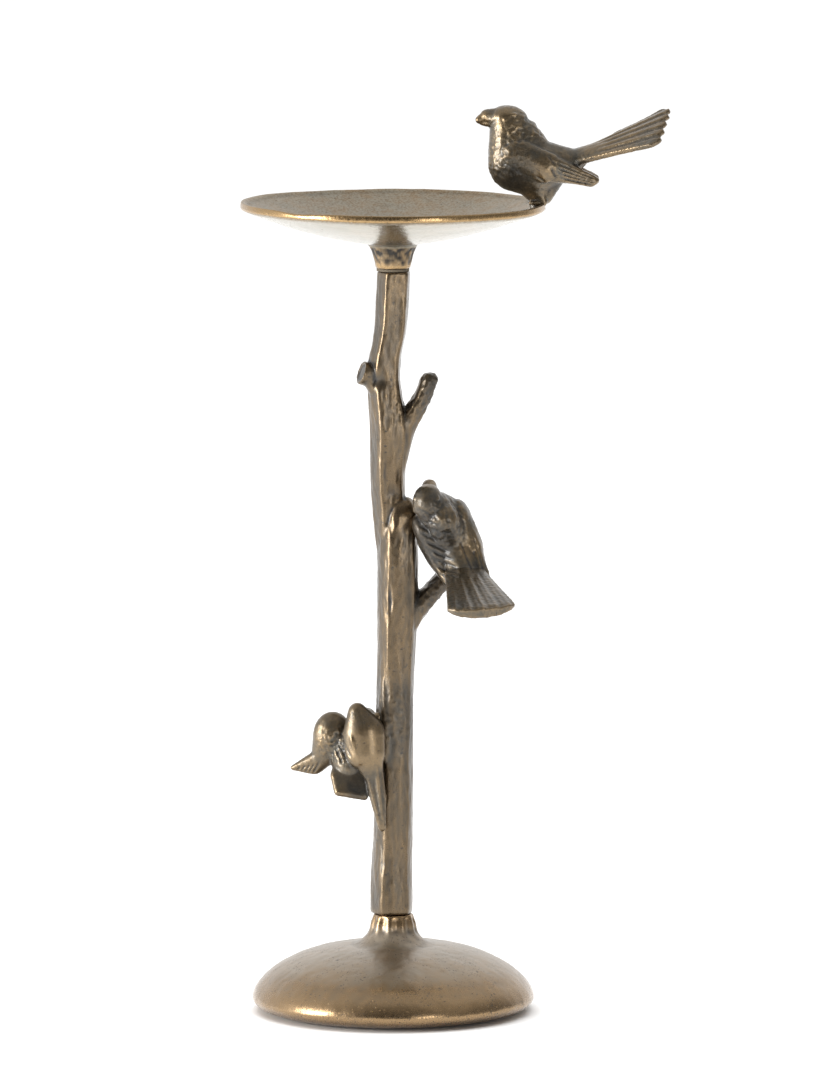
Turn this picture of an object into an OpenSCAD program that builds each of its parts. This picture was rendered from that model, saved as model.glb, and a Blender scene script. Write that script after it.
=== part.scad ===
// Bird bath stand: a cast base, a branch-shaped stem and a shallow dish, with three cast birds.
// Millimetres, +Z up. The origin is the centre of the underside, on the ground.

/* [Overall] */
// Height of the dish's rim above the ground
rim_z = 334.7; // [331:0.1:338]
// Height at which the stem stands on the base's neck
stem_foot_z = 40.5; // [39:0.5:42]
// Height of the stem's top, below the dish's collar
stem_top_z = 306.5; // [305:0.5:307.5]

/* [Base] */
// Outer diameter of the base
base_d = 116.6; // [112:0.2:120]
// Height of the base's widest point
base_edge_z = 6; // [5:0.5:7]
// Height at which the dome would close without its neck
dome_z = 28.5; // [27:0.5:30]
// Wall of the cast dome
base_wall = 4; // [3:0.5:5]
// Diameter of the neck where the stem stands on it
neck_d = 17.4; // [16:0.2:18]
// Thickness of the felt pad
felt_t = 2; // [1.5:0.25:3]

/* [Dish] */
// Outer diameter of the dish
dish_d = 125; // [120:0.5:128]
// Depth of the dish inside
dish_depth = 15.5; // [13:0.1:16.5]
// Wall of the dish
dish_wall = 2.9; // [2.4:0.1:3.4]
// Diameter of the collar where it meets the dish
collar_d = 19.4; // [18:0.2:21]
// Diameter of the collar's lower end
collar_foot_d = 14.4; // [13.6:0.2:15.4]

/* [Birds] */
// Diameter of a perched bird's breast
breast_d = 24; // [22:0.5:25]
// Diameter of a perched bird's head
head_d = 16.4; // [15:0.2:17.4]
// Length of a perched bird's tail
tail_l = 44; // [40:0.5:45]
// Width of a tail at its end
tail_w = 27; // [24:0.5:28]

/* [Fasteners] */
// Diameter of the base bolt and the dish stud
bolt_d = 8; // [7:0.5:8]
// Diameter of the screw and the pins that hold the birds
pin_d = 4; // [3:0.5:4]
// Thickness of the washer below the collar
washer_t = 1; // [0.8:0.1:1.2]

/* [Hidden] */
$fn = 96;

bronze = "#7a6242";
dark_bronze = "#5d4a33";
steel = "#b4b6b8";

// Base: the dome is a superellipse that starts at the widest point.
base_r = base_d / 2;
edge_round = 11;
base_foot_r = base_r - edge_round;
dome_power_r = 2.44;
dome_power_z = 1.64;
cove_r = 19;
hollow_r = base_foot_r - 3;
felt_r = hollow_r - 0.1;
felt_show = 0.6;
boss_r = 15;
boss_z = 12;
bolt_hole_r = bolt_d / 2 + 0.3;
bolt_head_t = 0.65 * bolt_d;
bolt_head_flats = 1.625 * bolt_d;
base_washer_r = bolt_d;
base_washer_t = 1.6;
bolt_grip = 18;

// Dish: the bowl's faces are parabolas that leave the collar at a slight slope.
dish_r = dish_d / 2;
bowl_slope = 0.092;
bowl_floor_z = rim_z - dish_depth;
bowl_curve = (dish_depth - bowl_slope * dish_r) / pow(dish_r, 2);
collar_foot_z = stem_top_z + washer_t;
collar_top_z = bowl_floor_z - dish_wall;
stud_hole_z = bowl_floor_z - 2.2;
stud_fit = 0.05;
stud_sunk = 16;

// Rim bird: its screw stands square to the wall of the bowl.
rim_screw_r = 59;
rim_screw_tilt = atan(bowl_slope + 2 * bowl_curve * rim_screw_r);
rim_screw_z = bowl_floor_z - dish_wall + bowl_height(rim_screw_r);
rim_screw_l = 12;
rim_bird_at = [54, 0, 354];
rim_tail_turn = [-28, 21, -14];
rim_wing_tip = [-28, 5, -10];
rim_wing_y = 8;
rim_head_roll = 0;

// Twig bird: it climbs, with its back to the front, and its tail is raised further.
twig_bird_at = [22.3, -9, 201.1];
twig_bird_stand = 65;
twig_bird_lean = 22;
twig_tail_turn = [14, 49, 0];
twig_wing_tip = [-23.5, 6.4, -4.4];
twig_wing_y = 9.2;
twig_head_roll = -17;
twig_pin = [26.8, 4, 190];

// Trunk bird: it hangs on the left of the trunk, tail to the front, with open wings.
trunk_pin = [-5, -2, 106];

// The stem's limbs as rings: [x, y, z, radius].
trunk = [
  [-0.4, 0, stem_foot_z, 8.7], [-0.3, 0, 62, 8.4], [0.6, 0, 90, 8], [0.8, 0, 110, 7.8],
  [1.2, 0, 138, 7.9], [1.8, 0, 156, 8.2], [2, 0, 175, 8.6], [2.2, 0, 190, 8.6],
  [2, 0, 202, 7.8], [3.4, 0, 208.5, 5.6], [4.4, 0, 211.5, 3]
];
branch = [
  [0.4, 0, 184, 5.5], [-0.6, 0.6, 196, 6.6], [-1.4, 0.8, 208, 7], [-2, 0.6, 221, 7.3],
  [-1.6, 0.4, 232, 7.8], [-1.4, 0.2, 241, 8], [-3, 0, 253, 7.3], [-4, 0, 262, 7],
  [-3.2, 0, 270, 6.8], [-1.6, 0, 277, 6.6], [-0.6, 0, 284, 6.7], [0, 0, 296, 6.8],
  [0.5, 0, stem_top_z, 6.8]
];
upper_twig = [
  [0, 0, 234, 5], [3.4, 0, 241, 5.6], [8, 0, 248.5, 4.6], [11.4, 0, 254, 4.1],
  [13.6, 0, 259, 4], [14.6, 0, 263, 3.4]
];
lower_twig = [
  [0, 0, 156, 6.4], [6.4, 0.6, 164, 6.6], [13, 1.4, 170.5, 5.9], [19, 2.4, 176.5, 5.5],
  [23.5, 3.4, 182.5, 5], [26, 4.2, 188.5, 4.4], [26.8, 4.6, 193, 3.2]
];
limb_sides = 24;

function bowl_height(r) = bowl_slope * r + bowl_curve * r * r;

function dome_height(r) =
  base_edge_z
  + (dome_z - base_edge_z) * pow(1 - pow(r / base_r, dome_power_r), 1 / dome_power_z);

// ---------------------------------------------------------------- shared shapes

// A closed limb through level rings, with a slight bark ridge along it.
module limb(rings, ridges = 5, ridge_h = 0.03) {
  n = limb_sides;
  last = len(rings) - 1;
  points = [
    for (ring = rings, k = [0 : n - 1])
      let (a = 360 * k / n, r = ring[3] * (1 + ridge_h * sin(ridges * a + 2 * ring.z)))
      [ring.x + r * cos(a), ring.y + r * sin(a), ring.z]
  ];
  walls = [
    for (i = [0 : last - 1], k = [0 : n - 1])
      let (j = (k + 1) % n)
      each [[i * n + k, (i + 1) * n + k, i * n + j], [i * n + j, (i + 1) * n + k, (i + 1) * n + j]]
  ];
  foot = [[for (k = [0 : n - 1]) k]];
  head = [[for (k = [n - 1 : -1 : 0]) last * n + k]];
  polyhedron(points, concat(walls, foot, head), convexity = 6);
}

// A rounded lump: a sphere stretched to three half sizes, turned, then placed.
module lump(at, half, turn = [0, 0, 0]) {
  translate(at) rotate(turn) scale(half) sphere(1, $fn = 20);
}

// A skin drawn over two lumps.
module bridge(at_a, half_a, at_b, half_b, turn = [0, 0, 0]) {
  hull() {
    lump(at_a, half_a, turn);
    lump(at_b, half_b, turn);
  }
}

module pin(from, toward, d, l) {
  way = (toward - from) / norm(toward - from);
  translate(from)
    rotate([0, acos(way.z), atan2(way.y, way.x)])
      cylinder(d = d, h = l, $fn = 48);
}

// ---------------------------------------------------------------- base

module base_outline() {
  foot = [for (a = [0 : 15 : 90])
    [base_foot_r + edge_round * sin(a), felt_show + (base_edge_z - felt_show) * (1 - cos(a))]];
  dome = [for (r = [base_r - 0.6 : -2.4 : cove_r]) [r, dome_height(r)]];
  start = dome[len(dome) - 1];
  cove_top_z = stem_foot_z - 3;
  cove = [for (a = [15 : 15 : 90])
    [start.x - (start.x - neck_d / 2 - 0.8) * sin(a),
     start.y + (cove_top_z - start.y) * (1 - cos(a))]];
  neck = [[neck_d / 2, stem_foot_z - 1], [neck_d / 2, stem_foot_z], [0, stem_foot_z]];
  polygon(concat([[0, felt_show]], foot, dome, cove, neck));
}

module base_hollow() {
  roof = [for (r = [hollow_r : -3 : boss_r]) [r, dome_height(r) - base_wall]];
  last = roof[len(roof) - 1];
  polygon(concat([[0, -1], [hollow_r, -1]], roof, [[boss_r, last.y], [boss_r, boss_z], [0, boss_z]]));
}

module base_shell() {
  color(bronze)
    difference() {
      rotate_extrude() base_outline();
      rotate_extrude() base_hollow();
      cylinder(r = bolt_hole_r, h = 2 * stem_foot_z);
    }
}

module felt_pad() {
  edge = 0.4;
  color("#2f3330")
    rotate_extrude()
      polygon([[0, 0], [felt_r - edge, 0], [felt_r, edge], [felt_r, felt_t], [0, felt_t]]);
}

module base_washer() {
  color(steel)
    translate([0, 0, boss_z - base_washer_t])
      difference() {
        cylinder(r = base_washer_r, h = base_washer_t);
        translate([0, 0, -1]) cylinder(r = bolt_hole_r - 0.1, h = base_washer_t + 2);
      }
}

module base_bolt() {
  head_z = boss_z - base_washer_t - bolt_head_t;
  color(steel) {
    translate([0, 0, head_z])
      cylinder(d = bolt_head_flats / cos(30), h = bolt_head_t, $fn = 6);
    translate([0, 0, head_z])
      cylinder(d = bolt_d, h = stem_foot_z + bolt_grip - head_z);
  }
}

// ---------------------------------------------------------------- stem

// A sawn-off side branch on the left, with a ring of bark behind its end.
module sawn_knot() {
  bridge([-4, 0, 260], [5, 5.5, 7.5], [-10, -0.5, 263.4], [2.6, 4.6, 5]);
  bridge([-10, -0.5, 263.4], [2.4, 4.6, 5], [-11.6, -0.5, 264.2], [1.8, 3.9, 4.2]);
}

// Burrs and folds of the bark where the limbs part.
module burrs() {
  bridge([3, -2, 236], [5, 4.5, 6], [5.6, 0, 242], [4.6, 4.6, 5]);
  bridge([4.6, -2.4, 198], [4.4, 4.4, 7], [5.6, -2, 206], [3, 3.2, 3.4]);
  bridge([7, -0.5, 186], [3.2, 4.4, 5], [6, 0, 178], [4, 5, 5]);
  bridge([5, 0, 166], [5.6, 5.8, 7], [9, 1, 166.5], [4, 4.8, 4]);
  bridge([0, 0, 158], [6.6, 6.8, 6], [3, 0, 148], [5.6, 6.4, 6]);
  bridge([-0.4, 0, 48], [8.4, 8.4, 4], [-0.4, 0, 58], [8.2, 8.2, 4]);
}

module stem() {
  color(dark_bronze)
    difference() {
      union() {
        limb(trunk);
        limb(branch);
        limb(upper_twig, 4);
        limb(lower_twig, 4);
        sawn_knot();
        burrs();
      }
      cylinder(d = bolt_d + 0.1, h = stem_foot_z + bolt_grip + 1, $fn = 48);
      translate([0, 0, stem_top_z - stud_sunk - 0.5])
        cylinder(d = bolt_d + 0.1, h = stud_sunk + 2, $fn = 48);
      pin(twig_pin, twig_pin - [0, 1, 0], pin_d + 0.1, 12);
      pin(trunk_pin, trunk_pin - [1, 0, 0], pin_d + 0.1, 12);
    }
}

// ---------------------------------------------------------------- dish

module dish_outline() {
  steps = 14;
  inside = [for (i = [0 : steps])
    let (r = (dish_r - dish_wall) * i / steps) [r, bowl_floor_z + bowl_height(r)]];
  lip = [for (a = [150 : -30 : -30])
    let (c = [dish_r - dish_wall / 2, rim_z - dish_wall / 2])
    [c.x + dish_wall / 2 * cos(a), c.y + dish_wall / 2 * sin(a)]];
  outside = [for (i = [steps - 1 : -1 : 3])
    let (r = dish_r * i / steps) [r, bowl_floor_z + bowl_height(r) - dish_wall]];
  collar = [
    [collar_d / 2, collar_top_z + 0.6], [collar_d / 2 - 1.2, collar_top_z - 1.6],
    [collar_foot_d / 2 + 0.5, collar_top_z - 4.4], [collar_foot_d / 2, collar_foot_z],
    [0, collar_foot_z]
  ];
  polygon(concat(inside, lip, outside, collar));
}

module dish() {
  color(bronze)
    difference() {
      rotate_extrude() dish_outline();
      translate([0, 0, collar_foot_z - 1])
        cylinder(d = bolt_d + 2 * stud_fit, h = stud_hole_z - collar_foot_z + 1);
      translate([rim_screw_r, 0, rim_screw_z]) rotate([0, -rim_screw_tilt, 0]) {
        translate([0, 0, -4]) cylinder(d = pin_d + 0.3, h = 10);
        translate([0, 0, -1]) cylinder(d = 2 * pin_d, h = 1);
        cylinder(d1 = 2 * pin_d, d2 = pin_d, h = pin_d / 2);
      }
    }
}

module dish_stud() {
  color(steel)
    translate([0, 0, stem_top_z - stud_sunk])
      cylinder(d = bolt_d, h = stud_hole_z - 0.6 - stem_top_z + stud_sunk);
}

module dish_washer() {
  color("#3a3835")
    translate([0, 0, stem_top_z])
      difference() {
        cylinder(d = collar_foot_d - 1, h = washer_t);
        translate([0, 0, -1]) cylinder(d = bolt_d + 0.7, h = washer_t + 2);
      }
}

// ---------------------------------------------------------------- birds

// A perched bird at its own origin, the middle of its body. It faces +X with its back to +Z.
module perched_bird(tail_turn, wing_tip, wing_y, head_roll) {
  breast = breast_d / 2;
  head = head_d / 2;
  lump([4, 0, -4], [breast, breast * 0.86, breast]);
  bridge([4, 0, -4], [breast, breast * 0.86, breast], [-6, 0, -4], [11, 9.6, 11]);
  bridge([-6, 0, -4], [11, 9.6, 11], [-18, 0, -3.5], [6.7, 6.4, 6.7]);
  rotate([head_roll, 0, 0]) {
    bridge([3, 0, 1], [10, 8.4, 9], [7.5, 0, 12.5], [head, head * 0.92, head]);
    bridge([9, 0, 14], [6, 4.6, 4.6], [17.4, 0, 14.2], [3, 2.6, 2.8]);
  }
  for (side = [-1, 1]) {
    bridge([5, side * wing_y, 1], [9, 3.2, 7], [-10, side * wing_y, -5], [9, 2.8, 5]);
    bridge([-10, side * wing_y, -5], [9, 2.8, 5],
      [wing_tip[0], side * wing_tip[1], wing_tip[2]], [3.4, 2.6, 2]);
  }
  bridge([-6, 0, -10], [6.5, 5.6, 4.4], [-8.6, 0, -17.2], [5, 5, 3]);
  translate([-19, 0, -2]) rotate(tail_turn) tail();
}

// A fanned tail that runs along -X from its root, with its end corners rounded.
module tail() {
  half_w = tail_w / 2;
  hull() {
    lump([0, 0, 0], [5, 4.4, 3.4]);
    lump([-tail_l * 0.45, 0, 0], [5, half_w * 0.5, 2]);
  }
  hull() {
    lump([-tail_l * 0.45, 0, 0], [5, half_w * 0.5, 2]);
    for (side = [-1, 1])
      lump([-tail_l + 3, side * (half_w - 4), 0], [4, 4, 2]);
  }
}

module rim_bird() {
  color(bronze)
    difference() {
      intersection() {
        translate(rim_bird_at) rotate([0, 0, 180])
          perched_bird(rim_tail_turn, rim_wing_tip, rim_wing_y, rim_head_roll);
        above_bowl();
      }
      rim_screw_way() cylinder(d = pin_d + 0.1, h = rim_screw_l + 1, $fn = 48);
    }
}

// The space above the bowl's inner face, where the rim bird's feet are moulded to the rim.
module above_bowl() {
  steps = 10;
  sole = [for (i = [0 : steps])
    let (r = (dish_r - dish_wall / 2) * i / steps) [r, bowl_floor_z + bowl_height(r)]];
  rotate_extrude($fn = 72)
    polygon(concat([[0, rim_z + 60]], sole,
      [[dish_r - dish_wall / 2, rim_z], [dish_r + 1, rim_z], [dish_r + 80, rim_z],
       [dish_r + 80, rim_z + 60]]));
}

module rim_screw_way() {
  translate([rim_screw_r, 0, rim_screw_z]) rotate([0, -rim_screw_tilt, 0]) children();
}

module rim_bird_screw() {
  color(steel)
    rim_screw_way() {
      cylinder(d1 = 2 * pin_d - 0.4, d2 = pin_d, h = pin_d / 2);
      cylinder(d = pin_d, h = rim_screw_l);
    }
}

module twig_bird() {
  color(bronze)
    difference() {
      translate(twig_bird_at)
        rotate([0, -twig_bird_lean, 0]) rotate([0, -twig_bird_stand, 90])
          perched_bird(twig_tail_turn, twig_wing_tip, twig_wing_y, twig_head_roll);
      pin(twig_pin, twig_pin - [0, 1, 0], pin_d + 0.1, 13);
      limb(trunk);
      limb(branch);
      limb(lower_twig, 4);
      burrs();
    }
}

module twig_bird_pin() {
  color(steel) pin(twig_pin, twig_pin - [0, 1, 0], pin_d, 12);
}

// The trunk bird's body, from the head against the bark to the blunt tail at the front.
module trunk_bird_body() {
  bridge([-18, 1, 109], [9.6, 8.6, 9.6], [-17.4, -4, 101], [8.4, 8, 8]);
  bridge([-17, 2, 112], [8, 7, 8], [-11.4, 5, 119], [5.6, 6.4, 6]);
  bridge([-11.4, 6, 119.4], [4, 4, 3.6], [-9.6, 12.6, 122], [1.6, 1.4, 1.6]);
  bridge([-17.2, -5, 99], [8, 6, 6], [-17, -11.5, 91.4], [7.4, 2.2, 3.6], [24, 0, 0]);
}

// An open wing from its wrist to its tip.
module open_wing(wrist, wrist_half, middle, middle_half, tip, tip_half) {
  bridge(wrist, wrist_half, middle, middle_half);
  bridge(middle, middle_half, tip, tip_half);
}

module trunk_bird() {
  color(bronze)
    difference() {
      union() {
        trunk_bird_body();
        bridge([-16, -2, 112], [7, 7, 7], [-13, -9, 113], [6, 4.6, 8]);
        open_wing([-12.2, -11.5, 115.4], [8.2, 4.6, 12.2], [-8.6, -12.4, 99], [4.6, 3.2, 6],
          [-3.8, -12.4, 77], [1.9, 1.7, 3]);
        open_wing([-23.8, -1, 112.6], [9.4, 6.6, 10.4], [-30, 1, 105], [6.4, 4.4, 5.4],
          [-40.6, 2.5, 101.2], [2.4, 1.7, 1.6]);
      }
      pin(trunk_pin, trunk_pin - [1, 0, 0], pin_d + 0.1, 13);
      limb(trunk);
      burrs();
    }
}

module trunk_bird_pin() {
  color(steel) pin(trunk_pin, trunk_pin - [1, 0, 0], pin_d, 12);
}

base_shell();
felt_pad();
base_bolt();
base_washer();
stem();
dish_stud();
dish_washer();
dish();
rim_bird();
rim_bird_screw();
twig_bird();
twig_bird_pin();
trunk_bird();
trunk_bird_pin();
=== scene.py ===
"""Looks of a bird bath stand: detailed castings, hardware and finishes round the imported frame.

Every size is in millimetres until it reaches Blender, where metre() turns it into metres.
"""
import sys
import logging
import math
from contextlib import contextmanager
from dataclasses import dataclass, field
from enum import Enum
from typing import Callable, Iterator, Sequence

import bpy
import numpy as np
from mathutils import Matrix, Vector


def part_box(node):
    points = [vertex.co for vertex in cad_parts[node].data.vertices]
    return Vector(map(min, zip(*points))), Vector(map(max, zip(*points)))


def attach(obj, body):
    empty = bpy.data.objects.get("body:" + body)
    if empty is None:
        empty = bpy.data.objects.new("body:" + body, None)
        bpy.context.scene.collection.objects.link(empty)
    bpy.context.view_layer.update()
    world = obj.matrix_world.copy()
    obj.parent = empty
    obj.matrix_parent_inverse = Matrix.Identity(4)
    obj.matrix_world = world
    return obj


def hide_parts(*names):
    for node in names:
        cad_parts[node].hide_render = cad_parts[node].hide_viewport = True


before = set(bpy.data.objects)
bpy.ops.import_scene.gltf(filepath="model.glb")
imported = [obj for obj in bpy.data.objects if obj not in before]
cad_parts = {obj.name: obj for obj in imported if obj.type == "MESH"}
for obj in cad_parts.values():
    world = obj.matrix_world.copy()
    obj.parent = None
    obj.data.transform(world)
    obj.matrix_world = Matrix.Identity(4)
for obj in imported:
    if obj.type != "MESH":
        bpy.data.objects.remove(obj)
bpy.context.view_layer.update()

MM = 0.001
WELD = 0.001 * MM
LOG = logging.getLogger("bird_bath")

Point = tuple[float, float, float]
Ring = tuple[float, float, float, float]
Stroke = tuple[float, float, float, float]


class Body(Enum):
    """The rigid bodies of the frame."""

    STAND = "stand"
    WASHER = "collar_washer"
    DISH = "dish"


class Side(Enum):
    """The left or right side of a bird, as the sign of its local Y."""

    LEFT = 1
    RIGHT = -1


# ---------------------------------------------------------------- modelling bench


def metre(*values: float) -> Vector:
    """A point or size given in millimetres, in metres."""
    return Vector(values) * MM


def node_box(node: str) -> tuple[Vector, Vector]:
    """A CAD node's lowest and highest corners, in millimetres."""
    low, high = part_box(node)
    return low / MM, high / MM


def take(obj: bpy.types.Object) -> None:
    """Makes obj the only selected object and the active one."""
    bpy.ops.object.select_all(action="DESELECT")
    obj.select_set(True)
    bpy.context.view_layer.objects.active = obj


@contextmanager
def editing(obj: bpy.types.Object, kind: str = "VERT") -> Iterator[None]:
    """Edit mode on obj alone, with the given kind of element selectable.

    Args:
        obj: the mesh object to edit.
        kind: VERT, EDGE or FACE.
    """
    take(obj)
    bpy.ops.object.mode_set(mode="EDIT")
    bpy.ops.mesh.select_mode(type=kind)
    yield
    bpy.ops.object.mode_set(mode="OBJECT")


def apply_place(obj: bpy.types.Object) -> None:
    """Moves the object's place, turn and scale into its mesh."""
    take(obj)
    bpy.ops.object.transform_apply(location=True, rotation=True, scale=True)


def add_mesh(operator: Callable[..., set[str]], **settings: object) -> bpy.types.Object:
    """Adds one of Blender's basic meshes, with its place in its mesh.

    Args:
        operator: the operator that adds it.
        **settings: the operator's settings, in metres and radians.

    Returns:
        The new object.
    """
    bpy.ops.object.select_all(action="DESELECT")
    operator(**settings)
    made = bpy.context.active_object
    apply_place(made)
    return made


def apply_modifier(obj: bpy.types.Object, kind: str, **settings: object) -> None:
    """Adds a modifier with these settings and applies it.

    Args:
        obj: the mesh object.
        kind: the modifier's type.
        **settings: its properties by name.
    """
    modifier = obj.modifiers.new(kind.title(), kind)
    for name, value in settings.items():
        setattr(modifier, name, value)
    take(obj)
    bpy.ops.object.modifier_apply(modifier=modifier.name)


def join(parts: Sequence[bpy.types.Object], name: str = "part") -> bpy.types.Object:
    """Joins several objects into the first of them.

    Args:
        parts: the objects, none of them used again.
        name: the joined object's name.

    Returns:
        The joined object.
    """
    take(parts[0])
    for part in parts[1:]:
        part.select_set(True)
    if len(parts) > 1:
        bpy.ops.object.join()
    joined = bpy.context.view_layer.objects.active
    joined.name = name
    return joined


def copy_of(obj: bpy.types.Object, place: Matrix) -> bpy.types.Object:
    """A copy of obj with its own mesh, put through place.

    Args:
        obj: the object to copy.
        place: the matrix that puts the copy in place, in metres.

    Returns:
        The copy, with its place in its mesh.
    """
    made = obj.copy()
    made.data = obj.data.copy()
    bpy.context.scene.collection.objects.link(made)
    made.matrix_world = place @ obj.matrix_world
    apply_place(made)
    return made


def turned(x: float = 0, y: float = 0, z: float = 0) -> Matrix:
    """A turn about X, then Y, then Z, in degrees."""
    return (Matrix.Rotation(math.radians(z), 4, "Z") @ Matrix.Rotation(math.radians(y), 4, "Y")
            @ Matrix.Rotation(math.radians(x), 4, "X"))


def placed(at: Point, x: float = 0, y: float = 0, z: float = 0) -> Matrix:
    """The matrix that turns a piece and then moves it to a point in millimetres."""
    return Matrix.Translation(metre(*at)) @ turned(x, y, z)


def put(obj: bpy.types.Object, place: Matrix) -> None:
    """Puts an object in place, with its place in its mesh."""
    obj.matrix_world = place
    apply_place(obj)


def shade(obj: bpy.types.Object, crease: float | None = None) -> None:
    """Shades a finished mesh smooth, but for edges sharper than crease degrees if given."""
    take(obj)
    if crease is None:
        bpy.ops.object.shade_smooth()
    else:
        bpy.ops.object.shade_smooth_by_angle(angle=math.radians(crease))


def discard(obj: bpy.types.Object) -> None:
    """Deletes an object that was only a pattern for copies."""
    bpy.data.objects.remove(obj)


def coordinates(obj: bpy.types.Object) -> np.ndarray:
    """The mesh's vertices as an array of points, in millimetres."""
    flat = np.empty(len(obj.data.vertices) * 3)
    obj.data.vertices.foreach_get("co", flat)
    return flat.reshape(-1, 3) / MM


def sculpt(obj: bpy.types.Object, shape: Callable[[np.ndarray], np.ndarray]) -> None:
    """Moves every vertex by a rule.

    Args:
        obj: the mesh object.
        shape: takes the points in millimetres and returns the moved points.
    """
    moved = shape(coordinates(obj)) * MM
    obj.data.vertices.foreach_set("co", moved.ravel())
    obj.data.update()


def vertex_normals(obj: bpy.types.Object) -> np.ndarray:
    """The directions that the mesh's vertices face."""
    flat = np.empty(len(obj.data.vertices) * 3)
    obj.data.vertices.foreach_get("normal", flat)
    return flat.reshape(-1, 3)


def polar(points: np.ndarray) -> tuple[np.ndarray, np.ndarray]:
    """Each point's distance from the stand's axis, and its angle about it in radians."""
    return np.hypot(points[:, 0], points[:, 1]), np.arctan2(points[:, 1], points[:, 0])


def slim(obj: bpy.types.Object, share: float) -> None:
    """Draws the mesh in towards the axis, so that its uneven faces stay within the CAD's size."""
    sculpt(obj, lambda points: points * np.array([share, share, 1]))


def select_where(obj: bpy.types.Object, test: Callable[[np.ndarray], np.ndarray]) -> None:
    """Selects the faces whose middles pass a test, and nothing else.

    Args:
        obj: the mesh object, in object mode.
        test: takes the faces' middles in millimetres and returns booleans.
    """
    mesh = obj.data
    mesh.vertices.foreach_set("select", np.zeros(len(mesh.vertices), bool))
    mesh.edges.foreach_set("select", np.zeros(len(mesh.edges), bool))
    middles = np.array([face.center for face in mesh.polygons]) / MM
    mesh.polygons.foreach_set("select", np.asarray(test(middles), bool))


def lump(at: Point, half: Point, turn: Point = (0, 0, 0), detail: int = 30) -> bpy.types.Object:
    """A rounded lump of casting wax: a ball stretched to three half sizes.

    Args:
        at: its middle.
        half: its half sizes along its own axes.
        turn: its turn about X, Y and Z, in degrees.
        detail: the number of its segments.

    Returns:
        The lump, with its place in its mesh.
    """
    return add_mesh(bpy.ops.mesh.primitive_uv_sphere_add, segments=detail, ring_count=detail // 2,
                    radius=1, location=metre(*at), rotation=[math.radians(angle) for angle in turn],
                    scale=metre(*half))


def bridge(*lumps: tuple[Point, Point], turn: Point = (0, 0, 0)) -> bpy.types.Object:
    """One taut skin drawn over several lumps.

    Args:
        *lumps: (middle, half sizes) of each lump.
        turn: the turn of every lump, in degrees.

    Returns:
        The skin as a closed convex mesh.
    """
    skin = join([lump(at, half, turn) for at, half in lumps])
    with editing(skin):
        bpy.ops.mesh.select_all(action="SELECT")
        bpy.ops.mesh.convex_hull(use_existing_faces=False)
    return skin


def smooth_path(rings: Sequence[Ring], steps: int = 3) -> list[Ring]:
    """Rings on a smooth curve through the given rings.

    Args:
        rings: the rings as (x, y, z, radius).
        steps: how many steps lie between two given rings.

    Returns:
        The denser list of rings.
    """
    knots = [np.array(ring, float) for ring in rings]
    padded = [2 * knots[0] - knots[1], *knots, 2 * knots[-1] - knots[-2]]
    path = []
    for before, start, end, after in zip(padded, padded[1:], padded[2:], padded[3:]):
        for step in range(steps):
            share = step / steps
            path.append(0.5 * (2 * start + (end - before) * share
                               + (2 * before - 5 * start + 4 * end - after) * share ** 2
                               + (3 * start - before - 3 * end + after) * share ** 3))
    return [tuple(ring) for ring in [*path, knots[-1]]]


def limb(rings: Sequence[Ring], corners: int = 5, corner_at: float = 244, flatness: float = 0.5,
         sides: int = 40) -> bpy.types.Object:
    """A branch drawn out of one disc, ring by ring, with blunt flats along it.

    Args:
        rings: (x, y, z, radius) of its level rings.
        corners: how many ridges run along it.
        corner_at: where the first ridge lies, in degrees from +X.
        flatness: 0 for a round branch, 1 for a sharp one.
        sides: the number of the disc's sides.

    Returns:
        The closed limb.
    """
    path = smooth_path(rings)
    x, y, z, radius = path[0]
    made = add_mesh(bpy.ops.mesh.primitive_circle_add, vertices=sides, radius=radius * MM,
                    fill_type="NGON", location=metre(x, y, z))

    def facet(points: np.ndarray) -> np.ndarray:
        """Turns the round disc into a soft polygon."""
        centre = np.array([x, y, z])
        angle = np.degrees(polar(points - centre)[1])
        half = 180 / corners
        away = np.abs((angle - corner_at + half) % (2 * half) - half)
        flat = math.cos(math.radians(half)) / np.cos(np.radians(half - away))
        grown = (1 - flatness) + flatness * flat * (1 + 0.5 * (1 - math.cos(math.radians(half))))
        return centre + (points - centre) * grown[:, None]

    sculpt(made, facet)
    with editing(made, "FACE"):
        bpy.ops.mesh.select_all(action="SELECT")
        for ring, following in zip(path, path[1:]):
            step = metre(*(end - start for start, end in zip(ring[:3], following[:3])))
            grow = following[3] / ring[3]
            bpy.ops.mesh.extrude_region_move(TRANSFORM_OT_translate={"value": step})
            bpy.ops.transform.resize(value=(grow, grow, 1))
        bpy.ops.mesh.select_all(action="SELECT")
        bpy.ops.mesh.normals_make_consistent(inside=False)
    return made


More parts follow.
